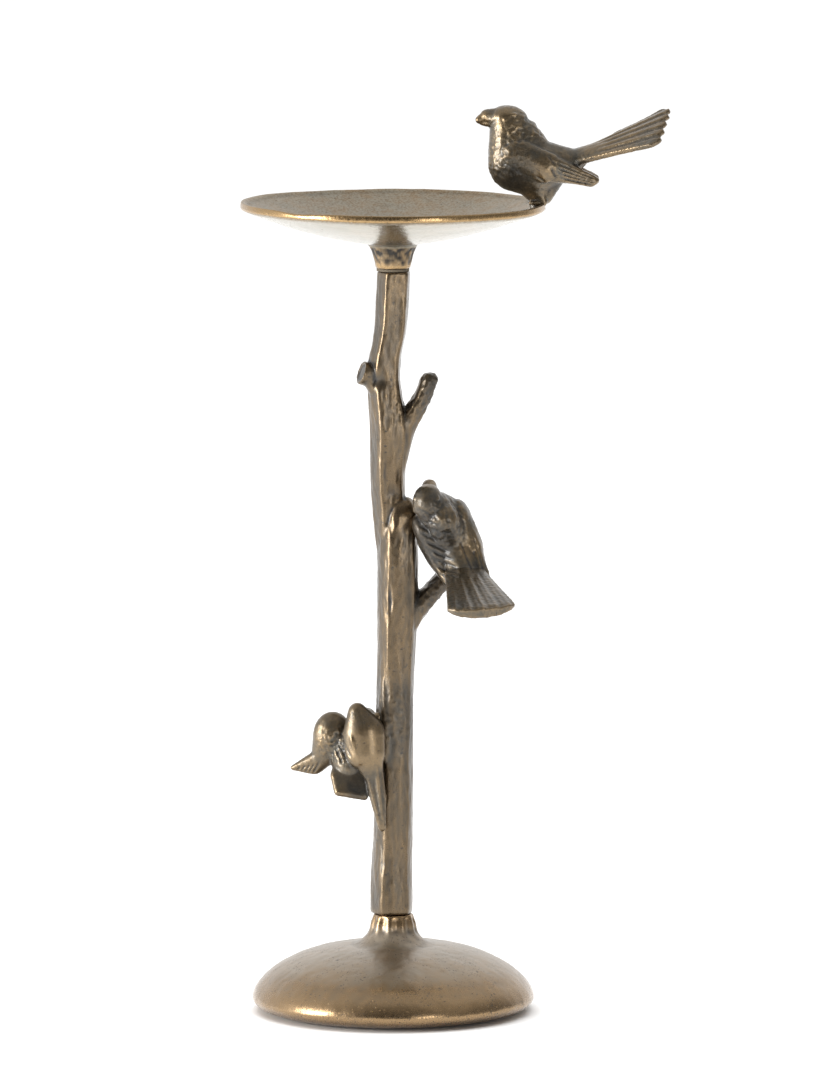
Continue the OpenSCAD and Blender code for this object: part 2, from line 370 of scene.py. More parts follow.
def lathe(outline: Sequence[tuple[float, float]], steps: int, name: str) -> bpy.types.Object:
    """A turned solid: a vertex drawn along the outline, then spun about Z.

    Args:
        outline: (radius, height) points. It starts and ends on the axis, or is a closed loop.
        steps: the number of steps round.
        name: the object's name.

    Returns:
        The closed solid, facing outwards.
    """
    closed = outline[0][0] > 0
    made = add_mesh(bpy.ops.mesh.primitive_plane_add, size=MM,
                    location=metre(outline[0][0], 0, outline[0][1]))
    made.name = name
    with editing(made):
        bpy.ops.mesh.select_all(action="SELECT")
        bpy.ops.mesh.merge(type="CENTER")
        for (radius, height), (next_radius, next_height) in zip(outline, outline[1:]):
            step = metre(next_radius - radius, 0, next_height - height)
            bpy.ops.mesh.extrude_region_move(TRANSFORM_OT_translate={"value": step})
        bpy.ops.mesh.select_all(action="SELECT")
        if closed:
            bpy.ops.mesh.remove_doubles(threshold=WELD)
        bpy.ops.mesh.spin(steps=steps, angle=math.tau, center=(0, 0, 0), axis=(0, 0, 1))
        bpy.ops.mesh.select_all(action="SELECT")
        bpy.ops.mesh.remove_doubles(threshold=WELD)
        bpy.ops.mesh.normals_make_consistent(inside=False)
    return made


def cast(obj: bpy.types.Object, grain: float, softness: int = 4) -> None:
    """Fuses a piece's lumps into one casting and rounds its creases.

    Args:
        obj: the joined lumps.
        grain: the mesh's pitch, in millimetres.
        softness: how many times the creases are smoothed.
    """
    apply_modifier(obj, "REMESH", mode="VOXEL", voxel_size=grain * MM, use_smooth_shade=True)
    apply_modifier(obj, "SMOOTH", factor=0.5, iterations=softness)


class Relief(Enum):
    """The kinds of uneven surface that a casting shows."""

    WAVES = "CLOUDS"
    LUMPS = "VORONOI"


def roughen(obj: bpy.types.Object, relief: Relief, size: float, height: float,
            stretch: Point = (1, 1, 1), turn: Point = (0, 0, 0),
            where: Callable[[np.ndarray], np.ndarray] | None = None) -> None:
    """Raises and sinks the surface by a procedural texture.

    Args:
        obj: the mesh object, its place in its mesh.
        relief: the kind of surface.
        size: the size of its features, in millimetres.
        height: how far it moves the surface in all, in millimetres.
        stretch: how much longer the features are along their own axes.
        turn: the turn of those axes, in degrees.
        where: a share from 0 to 1 for each point in millimetres, or None for all over.
    """
    texture = bpy.data.textures.new("relief", relief.value)
    texture.noise_scale = size * MM
    if relief is Relief.WAVES:
        texture.noise_depth = 3
    else:
        texture.noise_intensity = 1.2
    bpy.ops.object.empty_add(rotation=[math.radians(angle) for angle in turn], scale=stretch)
    guide = bpy.context.active_object
    guide.scale = stretch
    bpy.context.view_layer.update()
    settings: dict[str, object] = {}
    if where is not None:
        group = obj.vertex_groups.new(name="relief")
        for index, share in enumerate(where(coordinates(obj))):
            group.add([index], float(share), "REPLACE")
        settings["vertex_group"] = group.name
    apply_modifier(obj, "DISPLACE", texture=texture, texture_coords="OBJECT",
                   texture_coords_object=guide, strength=height * MM, mid_level=0.5, **settings)
    if where is not None:
        obj.vertex_groups.clear()
    discard(guide)


def near(points: np.ndarray, centre: Point, reach: float, fade: float) -> np.ndarray:
    """1 within reach of the centre, falling to 0 over fade, for each point in millimetres."""
    gap = np.linalg.norm(points - np.array(centre), axis=1)
    return np.clip((reach + fade - gap) / fade, 0, 1)


def between(values: np.ndarray, low: float, high: float, fade: float) -> np.ndarray:
    """1 from low to high, falling to 0 over fade on both sides."""
    return np.clip(np.minimum(values - low + fade, high + fade - values) / fade, 0, 1)


def note_hollows(obj: bpy.types.Object, reach: int = 10, depth: float = 0.35,
                 more: np.ndarray | float = 0) -> None:
    """Writes how hollow the surface is to the attribute that the bronze finishes read.

    Args:
        obj: the finished mesh object.
        reach: over how many rings of neighbours the surface is averaged.
        depth: the depth in millimetres that counts as fully hollow.
        more: what is added to the result, as one number or one per vertex.
    """
    mesh = obj.data
    ends = np.empty(len(mesh.edges) * 2, int)
    mesh.edges.foreach_get("vertices", ends)
    ends = ends.reshape(-1, 2)
    count = np.maximum(np.bincount(ends.ravel(), minlength=len(mesh.vertices)), 1)[:, None]
    points = coordinates(obj)

    def averaged(values: np.ndarray) -> np.ndarray:
        """Each vertex's value drawn halfway to its neighbours'."""
        total = np.zeros_like(values)
        np.add.at(total, ends[:, 0], values[ends[:, 1]])
        np.add.at(total, ends[:, 1], values[ends[:, 0]])
        return 0.5 * values + 0.5 * total / count

    level = points.copy()
    for _ in range(reach):
        level = averaged(level)
    hollow = np.einsum("ij,ij->i", level - points, vertex_normals(obj))[:, None]
    hollow = averaged(averaged(hollow))[:, 0]
    paint(obj, "hollow", 0.5 + 0.5 * hollow / depth + more)


def paint(obj: bpy.types.Object, name: str, values: np.ndarray) -> None:
    """Writes one value from 0 to 1 per vertex to an attribute that the finishes read."""
    layer = obj.data.attributes.new(name, "FLOAT", "POINT")
    layer.data.foreach_set("value", np.clip(values, 0, 1).astype(np.float32))


def score(obj: bpy.types.Object, axis: int, lines: Sequence[Stroke],
          width: float = 0.55, depth: float = 0.45, way: int = 0) -> None:
    """Cuts grooves along straight lines into the faces that look along one axis.

    Args:
        obj: the mesh object.
        axis: the axis that the faces look along, 0 to 2.
        lines: each groove's ends as (u, v, u, v), on the two other axes.
        width: half the groove's width, in millimetres.
        depth: its depth, in millimetres.
        way: 1 or -1 for the faces that look up or down the axis, or 0 for both.
    """
    points, normals = coordinates(obj), vertex_normals(obj)
    flat = np.delete(points, axis, 1)
    cut = np.zeros(len(points))
    for line in lines:
        start, run = np.array(line[:2]), np.array(line[2:]) - np.array(line[:2])
        along = np.clip((flat - start) @ run / (run @ run), 0, 1)
        gap = np.linalg.norm(flat - start - along[:, None] * run, axis=1)
        taper = np.minimum(1, 4 * np.minimum(along, 1 - along) + 0.25)
        cut = np.maximum(cut, np.exp(-(gap / width) ** 2) * taper)
    look = normals[:, axis] * way if way else np.abs(normals[:, axis])
    moved = points - normals * (cut * np.clip(look * 2 - 0.4, 0, 1) * depth)[:, None]
    sculpt(obj, lambda _: moved)


# ---------------------------------------------------------------- finishes


def map_range(tree: bpy.types.NodeTree, value: bpy.types.NodeSocket, low: float, high: float,
              to_low: float, to_high: float) -> bpy.types.Node:
    """Adds a node that spreads value from low..high to to_low..to_high.

    Args:
        tree: the node tree.
        value: the socket that is read.
        low: the value that becomes to_low, as does anything below it.
        high: the value that becomes to_high, as does anything past it.
        to_low: the result at low.
        to_high: the result at high.

    Returns:
        The node.
    """
    node = tree.nodes.new("ShaderNodeMapRange")
    for socket, number in zip(("From Min", "From Max", "To Min", "To Max"),
                              (low, high, to_low, to_high)):
        node.inputs[socket].default_value = number
    tree.links.new(value, node.inputs["Value"])
    return node


class NodeBench:
    """A short way to lay out a material's nodes."""

    def __init__(self, name: str) -> None:
        """Starts a material with one Principled shader."""
        self.material = bpy.data.materials.new(name)
        self.material.use_nodes = True
        self.tree = self.material.node_tree
        self.shader = self.tree.nodes["Principled BSDF"]
        self.place = self.add("ShaderNodeTexCoord").outputs["Object"]

    def add(self, kind: str, **settings: object) -> bpy.types.Node:
        """Adds a node with these settings."""
        node = self.tree.nodes.new(kind)
        for name, value in settings.items():
            setattr(node, name, value)
        return node

    def link(self, source: bpy.types.NodeSocket, target: bpy.types.NodeSocket) -> None:
        """Joins two sockets."""
        self.tree.links.new(source, target)

    def attribute(self, name: str) -> bpy.types.NodeSocket:
        """The piece's own value of that name, 0 where it has none."""
        return self.add("ShaderNodeAttribute", attribute_name=name).outputs["Fac"]

    def stretched(self, scale: Point) -> bpy.types.NodeSocket:
        """Object coordinates multiplied along each axis."""
        mapping = self.add("ShaderNodeMapping")
        mapping.inputs["Scale"].default_value = scale
        self.link(self.place, mapping.inputs["Vector"])
        return mapping.outputs["Vector"]

    def noise(self, size: float, detail: float = 4, rough: float = 0.55,
              stretch: Point = (1, 1, 1)) -> bpy.types.NodeSocket:
        """Cloudy noise with features of about size millimetres."""
        node = self.add("ShaderNodeTexNoise")
        node.inputs["Scale"].default_value = 1 / (size * MM)
        node.inputs["Detail"].default_value = detail
        node.inputs["Roughness"].default_value = rough
        self.link(self.stretched(stretch), node.inputs["Vector"])
        return node.outputs["Fac"]

    def band(self, value: bpy.types.NodeSocket, low: float, high: float,
             to_low: float = 0, to_high: float = 1) -> bpy.types.NodeSocket:
        """Value spread from low..high to to_low..to_high, and held there outside."""
        return map_range(self.tree, value, low, high, to_low, to_high).outputs["Result"]

    def sum(self, kind: str, first: bpy.types.NodeSocket,
            second: bpy.types.NodeSocket | float) -> bpy.types.NodeSocket:
        """A math node on two values, held between 0 and 1."""
        node = self.add("ShaderNodeMath", operation=kind, use_clamp=True)
        self.link(first, node.inputs[0])
        if isinstance(second, (int, float)):
            node.inputs[1].default_value = second
        else:
            self.link(second, node.inputs[1])
        return node.outputs[0]

    def blend(self, share: bpy.types.NodeSocket, first: object, second: object) -> bpy.types.NodeSocket:
        """Two colours mixed by share. A colour is a socket or three numbers."""
        node = self.add("ShaderNodeMix", data_type="RGBA")
        self.link(share, node.inputs["Factor"])
        for socket, colour in ((node.inputs[6], first), (node.inputs[7], second)):
            if isinstance(colour, bpy.types.NodeSocket):
                self.link(colour, socket)
            else:
                socket.default_value = (*colour, 1)
        return node.outputs[2]

    def bump(self, height: bpy.types.NodeSocket, depth: float,
             under: bpy.types.NodeSocket | None = None) -> bpy.types.NodeSocket:
        """A bump of depth millimetres, on top of another one if given."""
        node = self.add("ShaderNodeBump")
        node.inputs["Distance"].default_value = depth * MM
        self.link(height, node.inputs["Height"])
        if under is not None:
            self.link(under, node.inputs["Normal"])
        return node.outputs["Normal"]


@dataclass(frozen=True)
class Bronze:
    """An antique bronze finish on cast metal: rubbed high spots over a dark patina.

    It reads three attributes of the piece: how hollow it is (0.5 is level, 1 a deep crevice), how rubbed
    it is (0 is dull, 0.5 as cast, 1 rubbed bright; low values also carry painted shade and a paler
    painted sheen) and smooth (1 where dull metal still mirrors).

    Attributes:
        name: the material's name.
        bright: the rubbed metal.
        brown: the patina on the open surface.
        dull_and_painted_light: the patina where nothing rubs it, also the colour of painted shade on the
            birds and the stem, and of the paler painted sheen on the base.
        dark: the patina in hollows and pits.
        rubbed: how much of the surface is rubbed bright, from 0 to 1.
        gloss: the roughness of rubbed metal.
        matte: the roughness of the patina.
        grain: the size of the fine grain, in millimetres.
        grain_depth: its depth, in millimetres.
        pit: the spacing of the casting pits, in millimetres.
        pit_share: the share of places that have a pit.
        streak: how much the patches are stretched along Z.
        specks: how dark the clusters of small specks are.
        mottle: how much brown grain and stain shows in the dull patina.
        lacquer: the weight of the clear lacquer over it.
        lacquer_rough: the lacquer's roughness.
    """

    name: str
    bright: Point = (0.42, 0.275, 0.13)
    brown: Point = (0.19, 0.13, 0.07)
    dull_and_painted_light: Point = (0.42, 0.385, 0.305)
    dark: Point = (0.022, 0.018, 0.014)
    rubbed: float = 0.5
    gloss: float = 0.24
    matte: float = 0.42
    grain: float = 0.5
    grain_depth: float = 0.03
    pit: float = 2.2
    pit_share: float = 0.3
    streak: float = 1
    specks: float = 0.7
    mottle: float = 0
    lacquer: float = 0.8
    lacquer_rough: float = 0.3

    def pits(self, bench: NodeBench) -> bpy.types.NodeSocket:
        """1 inside the small casting pits and 0 outside."""
        cells = bench.add("ShaderNodeTexVoronoi")
        cells.inputs["Scale"].default_value = 1 / (self.pit * MM)
        cells.inputs["Randomness"].default_value = 1
        bench.link(bench.stretched((1, 1, 1.7)), cells.inputs["Vector"])
        chosen = bench.add("ShaderNodeSeparateColor")
        bench.link(cells.outputs["Color"], chosen.inputs["Color"])
        shape = bench.band(cells.outputs["Distance"], 0.10, 0.24, 1, 0)
        kept = bench.band(chosen.outputs["Red"], self.pit_share, self.pit_share + 0.05, 1, 0)
        clusters = bench.band(bench.noise(13, 3), 0.42, 0.56, 0.1, 1)
        return bench.sum("MULTIPLY", bench.sum("MULTIPLY", shape, kept), clusters)

    def build(self) -> bpy.types.Material:
        """Lays out the material.

        Returns:
            The finished material.
        """
        bench = NodeBench(self.name)
        along = (1, 1, 1 / self.streak)
        patches = bench.noise(7, 5, 0.6, along)
        clouds = bench.noise(22, 3, 0.5, along)
        grain = bench.noise(self.grain, 3, 0.6)
        hollow, polish_and_painted_light = bench.attribute("hollow"), bench.attribute("polish_and_painted_light")
        smooth = bench.attribute("smooth")
        pits = self.pits(bench)

        worn = bench.sum("ADD", bench.band(patches, 0.38, 0.66, 0, 0.5),
                         bench.band(clouds, 0.35, 0.65, self.rubbed - 0.4, self.rubbed))
        worn = bench.sum("ADD", worn, bench.band(hollow, 0.5, 0.36, 0, 0.6))
        worn = bench.sum("ADD", worn, bench.band(polish_and_painted_light, 0.5, 1, 0, 0.8))
        # Low polish gives the dull patina, and also the painted shade and the paler painted sheen that
        # some pieces carry.
        dulled_and_painted_light = bench.band(polish_and_painted_light, 0.5, 0.05)
        worn = bench.sum("MULTIPLY", worn, bench.band(dulled_and_painted_light, 0, 1, 1, 0.3))
        specks = bench.sum("MULTIPLY", bench.band(bench.noise(0.8, 2, 0.5, (1, 1, 0.6)), 0.6, 0.68),
                           bench.band(bench.noise(9, 2), 0.46, 0.6, 0, self.specks))
        sunk = bench.sum("MAXIMUM", bench.band(hollow, 0.53, 0.72), bench.sum("MULTIPLY", pits, 0.85))
        sunk = bench.sum("MAXIMUM", sunk, specks)
        speckle = bench.band(grain, 0.35, 0.7, 0, 0.35)

        stain = bench.sum("ADD", bench.band(grain, 0.46, 0.62, 0, self.mottle),
                          bench.band(patches, 0.5, 0.66, 0, self.mottle * 0.6))
        stain = bench.sum("MULTIPLY", stain, bench.band(smooth, 0, 1, 1, 0))
        base = bench.blend(dulled_and_painted_light, self.brown, bench.blend(stain, self.dull_and_painted_light, self.brown))
        colour = bench.blend(speckle, bench.blend(worn, base, self.bright), base)
        colour = bench.blend(sunk, colour, self.dark)
        bench.link(colour, bench.shader.inputs["Base Color"])
        bench.link(bench.band(sunk, 0, 1, 1, 0.55), bench.shader.inputs["Metallic"])
        rough = bench.band(worn, 0, 1, self.matte, self.gloss)
        rough = bench.sum("ADD", rough, bench.sum("MULTIPLY", sunk, 0.25))
        rough = bench.sum("ADD", rough, bench.sum("MULTIPLY", dulled_and_painted_light, 0.12))
        rough = bench.sum("ADD", rough, bench.band(grain, 0.35, 0.65, -0.05, 0.07))
        rough = bench.sum("SUBTRACT", rough, bench.sum("MULTIPLY", smooth, 0.32))
        bench.link(rough, bench.shader.inputs["Roughness"])
        bench.shader.inputs["Coat Weight"].default_value = self.lacquer
        bench.shader.inputs["Coat Roughness"].default_value = self.lacquer_rough
        normal = bench.bump(grain, self.grain_depth)
        normal = bench.bump(bench.noise(3.2, 3, 0.5, along), 0.10, normal)
        normal = bench.bump(bench.band(pits, 0, 1, 1, 0), 0.14, normal)
        bench.link(normal, bench.shader.inputs["Normal"])
        return bench.material


@dataclass(frozen=True)
class Steel:
    """Zinc-plated steel, for every fastening but the washer under the collar."""

    name: str = "zinc_steel"
    colour: Point = (0.56, 0.57, 0.58)
    stain: Point = (0.33, 0.31, 0.27)

    def build(self) -> bpy.types.Material:
        """Lays out the material and returns it."""
        bench = NodeBench(self.name)
        cloud = bench.noise(3, 4)
        fine = bench.noise(0.25, 2, 0.5, (1, 1, 0.2))
        bench.link(bench.blend(bench.band(cloud, 0.45, 0.75), self.colour, self.stain),
                   bench.shader.inputs["Base Color"])
        bench.link(bench.band(cloud, 0.3, 0.7, 0.25, 0.5), bench.shader.inputs["Roughness"])
        bench.shader.inputs["Metallic"].default_value = 1
        bench.link(bench.bump(fine, 0.01), bench.shader.inputs["Normal"])
        return bench.material


@dataclass(frozen=True)
class Pressed:
    """Pressed matter that isn't metal: wool felt or vulcanised fibre."""

    name: str
    colour: Point
    fleck: Point
    fibre: float
    depth: float
    sheen: float = 0

    def build(self) -> bpy.types.Material:
        """Lays out the material and returns it."""
        bench = NodeBench(self.name)
        fibres = bench.noise(self.fibre, 4, 0.7, (1, 0.35, 1))
        crossed = bench.noise(self.fibre, 4, 0.7, (0.35, 1, 1))
        tangle = bench.sum("MAXIMUM", fibres, crossed)
        bench.link(bench.blend(bench.band(tangle, 0.45, 0.7), self.colour, self.fleck),
                   bench.shader.inputs["Base Color"])
        bench.link(bench.band(tangle, 0.4, 0.7, 0.95, 0.75), bench.shader.inputs["Roughness"])
        bench.shader.inputs["Sheen Weight"].default_value = self.sheen
        bench.link(bench.bump(tangle, self.depth), bench.shader.inputs["Normal"])
        return bench.material


def hand_over(obj: bpy.types.Object, name: str, body: Body, slot: str,
              finish: bpy.types.Material, *replaced: str) -> bpy.types.Object:
    """Names a finished piece, dresses it and ties it to the frame.

    Args:
        obj: the piece, its place in its mesh.
        name: its name.
        body: the body that it moves with.
        slot: the record's material slot; it is not used.
        finish: its material.
        *replaced: the CAD nodes that it stands for.

    Returns:
        The piece.
    """
    obj.name = name
    obj.data.name = name
    obj.data.materials.clear()
    obj.data.materials.append(finish)
    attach(obj, body.value)
    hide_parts(*replaced)
    LOG.info("%s: %d faces, on %s", name, len(obj.data.polygons), body.value)
    return obj


def dress_node(node: str, finish: bpy.types.Material) -> None:
    """Gives a CAD node that stays in view its finish."""
    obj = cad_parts[node]
    for slot in obj.material_slots:
        slot.link = "OBJECT"
        slot.material = finish
    LOG.info("%s: kept as packed, dressed in %s", node, finish.name)


# ---------------------------------------------------------------- base


@dataclass
class Base:
    """The cast base: a low dome, hollow below, that sweeps up into a fluted neck."""

    finish: bpy.types.Material
    edge_z: float = 6
    crown_z: float = 28.5
    round_r: float = 11
    wall: float = 4
    cove_r: float = 19
    boss_r: float = 15
    boss_z: float = 12
    bolt_hole_r: float = 4.3
    foot_flat: float = 3
    neck_r: float = 8.5
    neck_h: float = 4.5
    flutes: int = 11
    flute_depth: float = 0.75

    def dome_z(self, radius: float, edge_r: float) -> float:
        """The dome's height at a radius."""
        rise = 1 - (radius / edge_r) ** 2.44
        return self.edge_z + (self.crown_z - self.edge_z) * max(rise, 0) ** (1 / 1.64)

    def outline(self, low: Vector, high: Vector) -> list[tuple[float, float]]:
        """The closed loop that the casting is turned from.

        Args:
            low: the CAD node's lowest corner.
            high: its highest corner.

        Returns:
            (radius, height) points.
        """
        edge_r, foot_z, top_z = high.x, low.z, high.z
        foot_r = edge_r - self.round_r
        hollow_r = foot_r - self.foot_flat
        neck_r = self.neck_r
        loop = [(hollow_r, foot_z)]
        for degree in range(0, 91, 9):
            angle = math.radians(degree)
            loop.append((foot_r + self.round_r * math.sin(angle),
                         foot_z + (self.edge_z - foot_z) * (1 - math.cos(angle))))
        slope = np.linspace(edge_r - 0.4, self.cove_r, 34)
        loop += [(float(radius), self.dome_z(radius, edge_r)) for radius in slope]
        start_r, start_z = loop[-1]
        cove_top = top_z - self.neck_h
        for degree in range(8, 91, 8):
            angle = math.radians(degree)
            loop.append((start_r - (start_r - neck_r - 1.1) * math.sin(angle),
                         start_z + (cove_top - start_z) * (1 - math.cos(angle))))
        loop += [(neck_r + 0.7, top_z - 3.2), (neck_r + 0.2, top_z - 2), (neck_r - 0.1, top_z - 0.8),
                 (neck_r - 0.5, top_z - 0.2), (neck_r - 1, top_z), (self.bolt_hole_r, top_z),
                 (self.bolt_hole_r, self.boss_z), (self.boss_r, self.boss_z)]
        roof = [(radius, self.dome_z(radius, edge_r) - self.wall)
                for radius in np.linspace(self.boss_r, hollow_r, 8)]
        return loop + roof + [loop[0]]

    def flute(self, points: np.ndarray, top_z: float) -> np.ndarray:
        """Cuts the neck's flutes, which aren't quite evenly spaced."""
        radius, angle = polar(points)
        wave = 0.5 - 0.5 * np.cos(self.flutes * angle + 0.7 * np.sin(2 * angle))
        deep = between(points[:, 2], top_z - 7, top_z - 2.2, 2.2)
        outer = radius > self.bolt_hole_r + 1
        sink = np.where(outer, self.flute_depth * wave * deep, 0)
        moved = points.copy()
        moved[:, :2] *= (1 - sink / np.maximum(radius, 1))[:, None]
        return moved

    def build(self) -> bpy.types.Object:
        """Builds the base and hands it over."""
        low, high = node_box("base_shell")
        piece = lathe(self.outline(low, high), 176, "base_casting")
        sculpt(piece, lambda points: self.flute(points, high.z))
        apply_modifier(piece, "SUBSURF", levels=1, render_levels=1)
        slim(piece, 0.9975)
        roughen(piece, Relief.WAVES, 14, 0.5, where=self.open_face)
        roughen(piece, Relief.WAVES, 3.5, 0.16, where=self.open_face)
        shade(piece, 50)
        note_hollows(piece)
        paint(piece, "polish_and_painted_light", self.wear_and_painted_light(coordinates(piece)))
        return hand_over(piece, "base_casting", Body.STAND, "bronze_cast", self.finish, "base_shell")

    def open_face(self, points: np.ndarray) -> np.ndarray:
        """Where the casting may run uneven: not at its foot, its joint or its bolt hole."""
        radius, _ = polar(points)
        return between(points[:, 2], 3.5, 37, 2) * (radius > self.bolt_hole_r + 2)

    def wear_and_painted_light(self, points: np.ndarray) -> np.ndarray:
        """How bright each place is rubbed: most on the dome's slope; crown and edge are painted duller
        and paler, as painted sheen.
        """
        radius, _ = polar(points)
        crown = between(points[:, 2], 20, 33, 10)
        edge = np.clip((radius - 51) / 5, 0, 1)
        # Crown and edge are painted duller and paler: a painted sheen for the whitish reflection on the
        # dome's top and rim.
        return 0.78 - 0.5 * crown - 0.3 * edge


@dataclass
class Felt:
    """The felt disc that closes the base's hollow underside."""

    finish: bpy.types.Material

    def build(self) -> bpy.types.Object:
        """Builds the felt and hands it over."""
        low, high = node_box("felt_pad")
        edge_r, top = high.x, high.z
        outline = [(0, 0), (edge_r * 0.5, 0), (edge_r - 0.8, 0), (edge_r - 0.25, 0.15), (edge_r, 0.6),
                   (edge_r, top - 0.4), (edge_r - 0.4, top), (edge_r * 0.5, top), (0, top)]
        piece = lathe(outline, 96, "felt_disc")
        apply_modifier(piece, "SUBSURF", levels=1, render_levels=1, subdivision_type="SIMPLE")
        roughen(piece, Relief.WAVES, 2, 0.12,
                where=lambda points: between(points[:, 2], 0.3, top, 0.2))
        shade(piece, 60)
        return hand_over(piece, "felt_disc", Body.STAND, "felt", self.finish, "felt_pad")


# ---------------------------------------------------------------- dish


@dataclass
class Dish:
    """The shallow dish with its hand-dressed lip and the rough collar below it."""

    finish: bpy.types.Material
    wall: float = 2.9
    floor_z: float = 319.2
    slope: float = 0.092
    curve: float = 0.002496
    collar_r: float = 9.7
    collar_foot_r: float = 7.2
    bore_r: float = 4.05
    bore_top: float = 317.0
    joint_z: float = 308.4
    screw_r: float = 59
    nick_at: float = -128
    nick_depth: float = 0.8

    def bowl(self, radius: float) -> float:
        """The inner face's height above its middle at a radius."""
        return self.slope * radius + self.curve * radius * radius

    def outline(self, rim_r: float, rim_z: float, foot_z: float) -> list[tuple[float, float]]:
        """The outline that the dish is turned from, from the axis at the top to the bore's end.

        Args:
            rim_r: the lip's outer radius.
            rim_z: the lip's height.
            foot_z: the collar's lower end.

        Returns:
            (radius, height) points.
        """
        inner_r = rim_r - self.wall
        points = [(0.0, self.floor_z)]
        points += [(float(radius), self.floor_z + self.bowl(radius))
                   for radius in np.linspace(2, inner_r, 40)]
        edge = self.floor_z + self.bowl(rim_r) - self.wall
        points += [(inner_r + 1.2, rim_z - 0.3), (rim_r - 0.9, rim_z), (rim_r - 0.4, rim_z - 0.1),
                   (rim_r - 0.1, rim_z - 0.5), (rim_r, edge + 0.7), (rim_r - 0.1, edge + 0.2),
                   (rim_r - 0.6, edge - 0.2), (rim_r - 1.4, edge - 0.5)]
        points += [(float(radius), self.floor_z + self.bowl(radius) - self.wall)
                   for radius in np.linspace(rim_r - 3, self.collar_r + 1, 34)]
        top = self.floor_z - self.wall
        points += [(self.collar_r + 0.6, top + 0.85), (self.collar_r, top + 0.2),
                   (self.collar_r - 0.5, top - 0.6), (self.collar_r - 1.1, top - 2),
                   (self.collar_foot_r + 0.9, top - 4),
                   (self.collar_foot_r + 0.35, top - 6), (self.collar_foot_r, foot_z + 0.5),
                   (self.collar_foot_r - 0.4, foot_z), (self.bore_r, foot_z),
                   (self.bore_r, self.bore_top), (0.0, self.bore_top)]
        return points

    def dress_lip(self, points: np.ndarray, rim_r: float) -> np.ndarray:
        """Gives the lip its uneven, hand-filed run, and a nick at the front."""
        radius, angle = polar(points)
        share = np.clip((radius - 0.55 * rim_r) / (0.45 * rim_r), 0, 1) ** 2
        sag = (0.3 * np.cos(angle - math.pi) + 0.14 * np.sin(2 * angle + 0.6)
               + 0.1 * np.sin(5 * angle + 1.0))
        moved = points.copy()
        moved[:, 2] += share * sag
        nick = np.exp(-((np.degrees(angle) - self.nick_at) / 9) ** 2)
        nick = nick * np.clip((radius - rim_r + 3.4) / 2, 0, 1)
        top = points[:, 2] > self.floor_z + self.bowl(rim_r) - 1.4
        moved[:, 2] -= np.where(top, self.nick_depth * nick, 0)
        return moved

    def rib_collar(self, points: np.ndarray, foot_z: float) -> np.ndarray:
        """Roughs the collar into short broken ribs, as bark is."""
        radius, angle = polar(points)
        height = points[:, 2]
        there = between(height, foot_z + 1.4, self.floor_z - self.wall - 0.6, 1.0)
        there = there * (radius > self.bore_r + 1) * (radius < self.collar_r + 2)
        ribs = (np.sin(7 * angle + 2.2 * np.sin(height * 0.5)) * np.cos(height * 0.8 + 2 * angle)
                + 0.5 * np.sin(13 * angle + 3 * np.cos(height * 0.6)))
        moved = points.copy()
        moved[:, :2] *= (1 + 0.3 * there * ribs / np.maximum(radius, 1))[:, None]
        return moved

    def build(self) -> bpy.types.Object:
        """Builds the dish and hands it over."""
        low, high = node_box("dish")
        rim_r = high.x
        piece = lathe(self.outline(rim_r, high.z, low.z), 192, "dish_casting")
        sculpt(piece, lambda points: self.dress_lip(points, rim_r))
        sculpt(piece, lambda points: self.rib_collar(points, low.z))
        apply_modifier(piece, "SUBSURF", levels=1, render_levels=1)
        roughen(piece, Relief.WAVES, 12, 0.35, where=self.open_face)
        roughen(piece, Relief.WAVES, 1.6, 0.5,
                where=lambda points: self.open_face(points) * self.on_collar(points))
        slim(piece, 0.9985)
        self.drill_screw_hole(piece)
        shade(piece, 50)
        self.paint_wear(piece, rim_r)
        return hand_over(piece, "dish_casting", Body.DISH, "bronze_cast", self.finish, "dish")

    def paint_wear(self, piece: bpy.types.Object, rim_r: float) -> None:
        """Paints the hollows, the rubbed lip, and where the dull underside still mirrors.

        Args:
            piece: the finished dish.
            rim_r: the lip's outer radius.
        """
        points = coordinates(piece)
        note_hollows(piece, more=0.1 * self.on_collar(points))
        radius, _ = polar(points)
        lip = np.clip((radius - rim_r + 3.2) / 1.2, 0, 1)
        look = vertex_normals(piece)[:, 2]
        under = (look < -0.2) * np.clip((points[:, 2] - self.floor_z + self.wall) / 2, 0, 1)
        collar = 0.26 * self.on_collar(points)
        paint(piece, "smooth", under * np.clip((rim_r - 1.5 - radius) / 2, 0, 1))
        paint(piece, "polish_and_painted_light", 0.16 + 0.42 * lip * (np.abs(look) < 0.6) - 0.06 * under + collar)

    def screw_place(self) -> Matrix:
        """The matrix of the rim bird's screw: its head's middle, square to the bowl's wall."""
        tilt = math.degrees(math.atan(self.slope + 2 * self.curve * self.screw_r))
        head_z = self.floor_z - self.wall + self.bowl(self.screw_r)
        return placed((self.screw_r, 0, head_z), 0, -tilt, 0)

    def drill_screw_hole(self, piece: bpy.types.Object) -> None:
        """Drills the countersunk hole that the rim bird's screw lies in."""
        head_r, pin_r, foot, top = 4.15, 2.15, -3, 9
        drill = lathe([(0, foot), (head_r, foot), (head_r, 0.05), (pin_r, 2.1), (pin_r, top),
                       (0, top)], 40, "drill")
        put(drill, self.screw_place())
        apply_modifier(piece, "BOOLEAN", operation="DIFFERENCE", solver="EXACT", object=drill)
        discard(drill)

    def open_face(self, points: np.ndarray) -> np.ndarray:
        """Where the faces may run uneven: not in the bore and not at the joint."""
        radius, _ = polar(points)
        return np.clip(radius - self.bore_r - 0.6, 0, 1) * np.clip(points[:, 2] - self.joint_z, 0, 1)

    def on_collar(self, points: np.ndarray) -> np.ndarray:
        """1 on the collar and 0 on the bowl."""
        return between(points[:, 2], 300, self.floor_z - self.wall - 0.4, 0.8)


# ---------------------------------------------------------------- stem


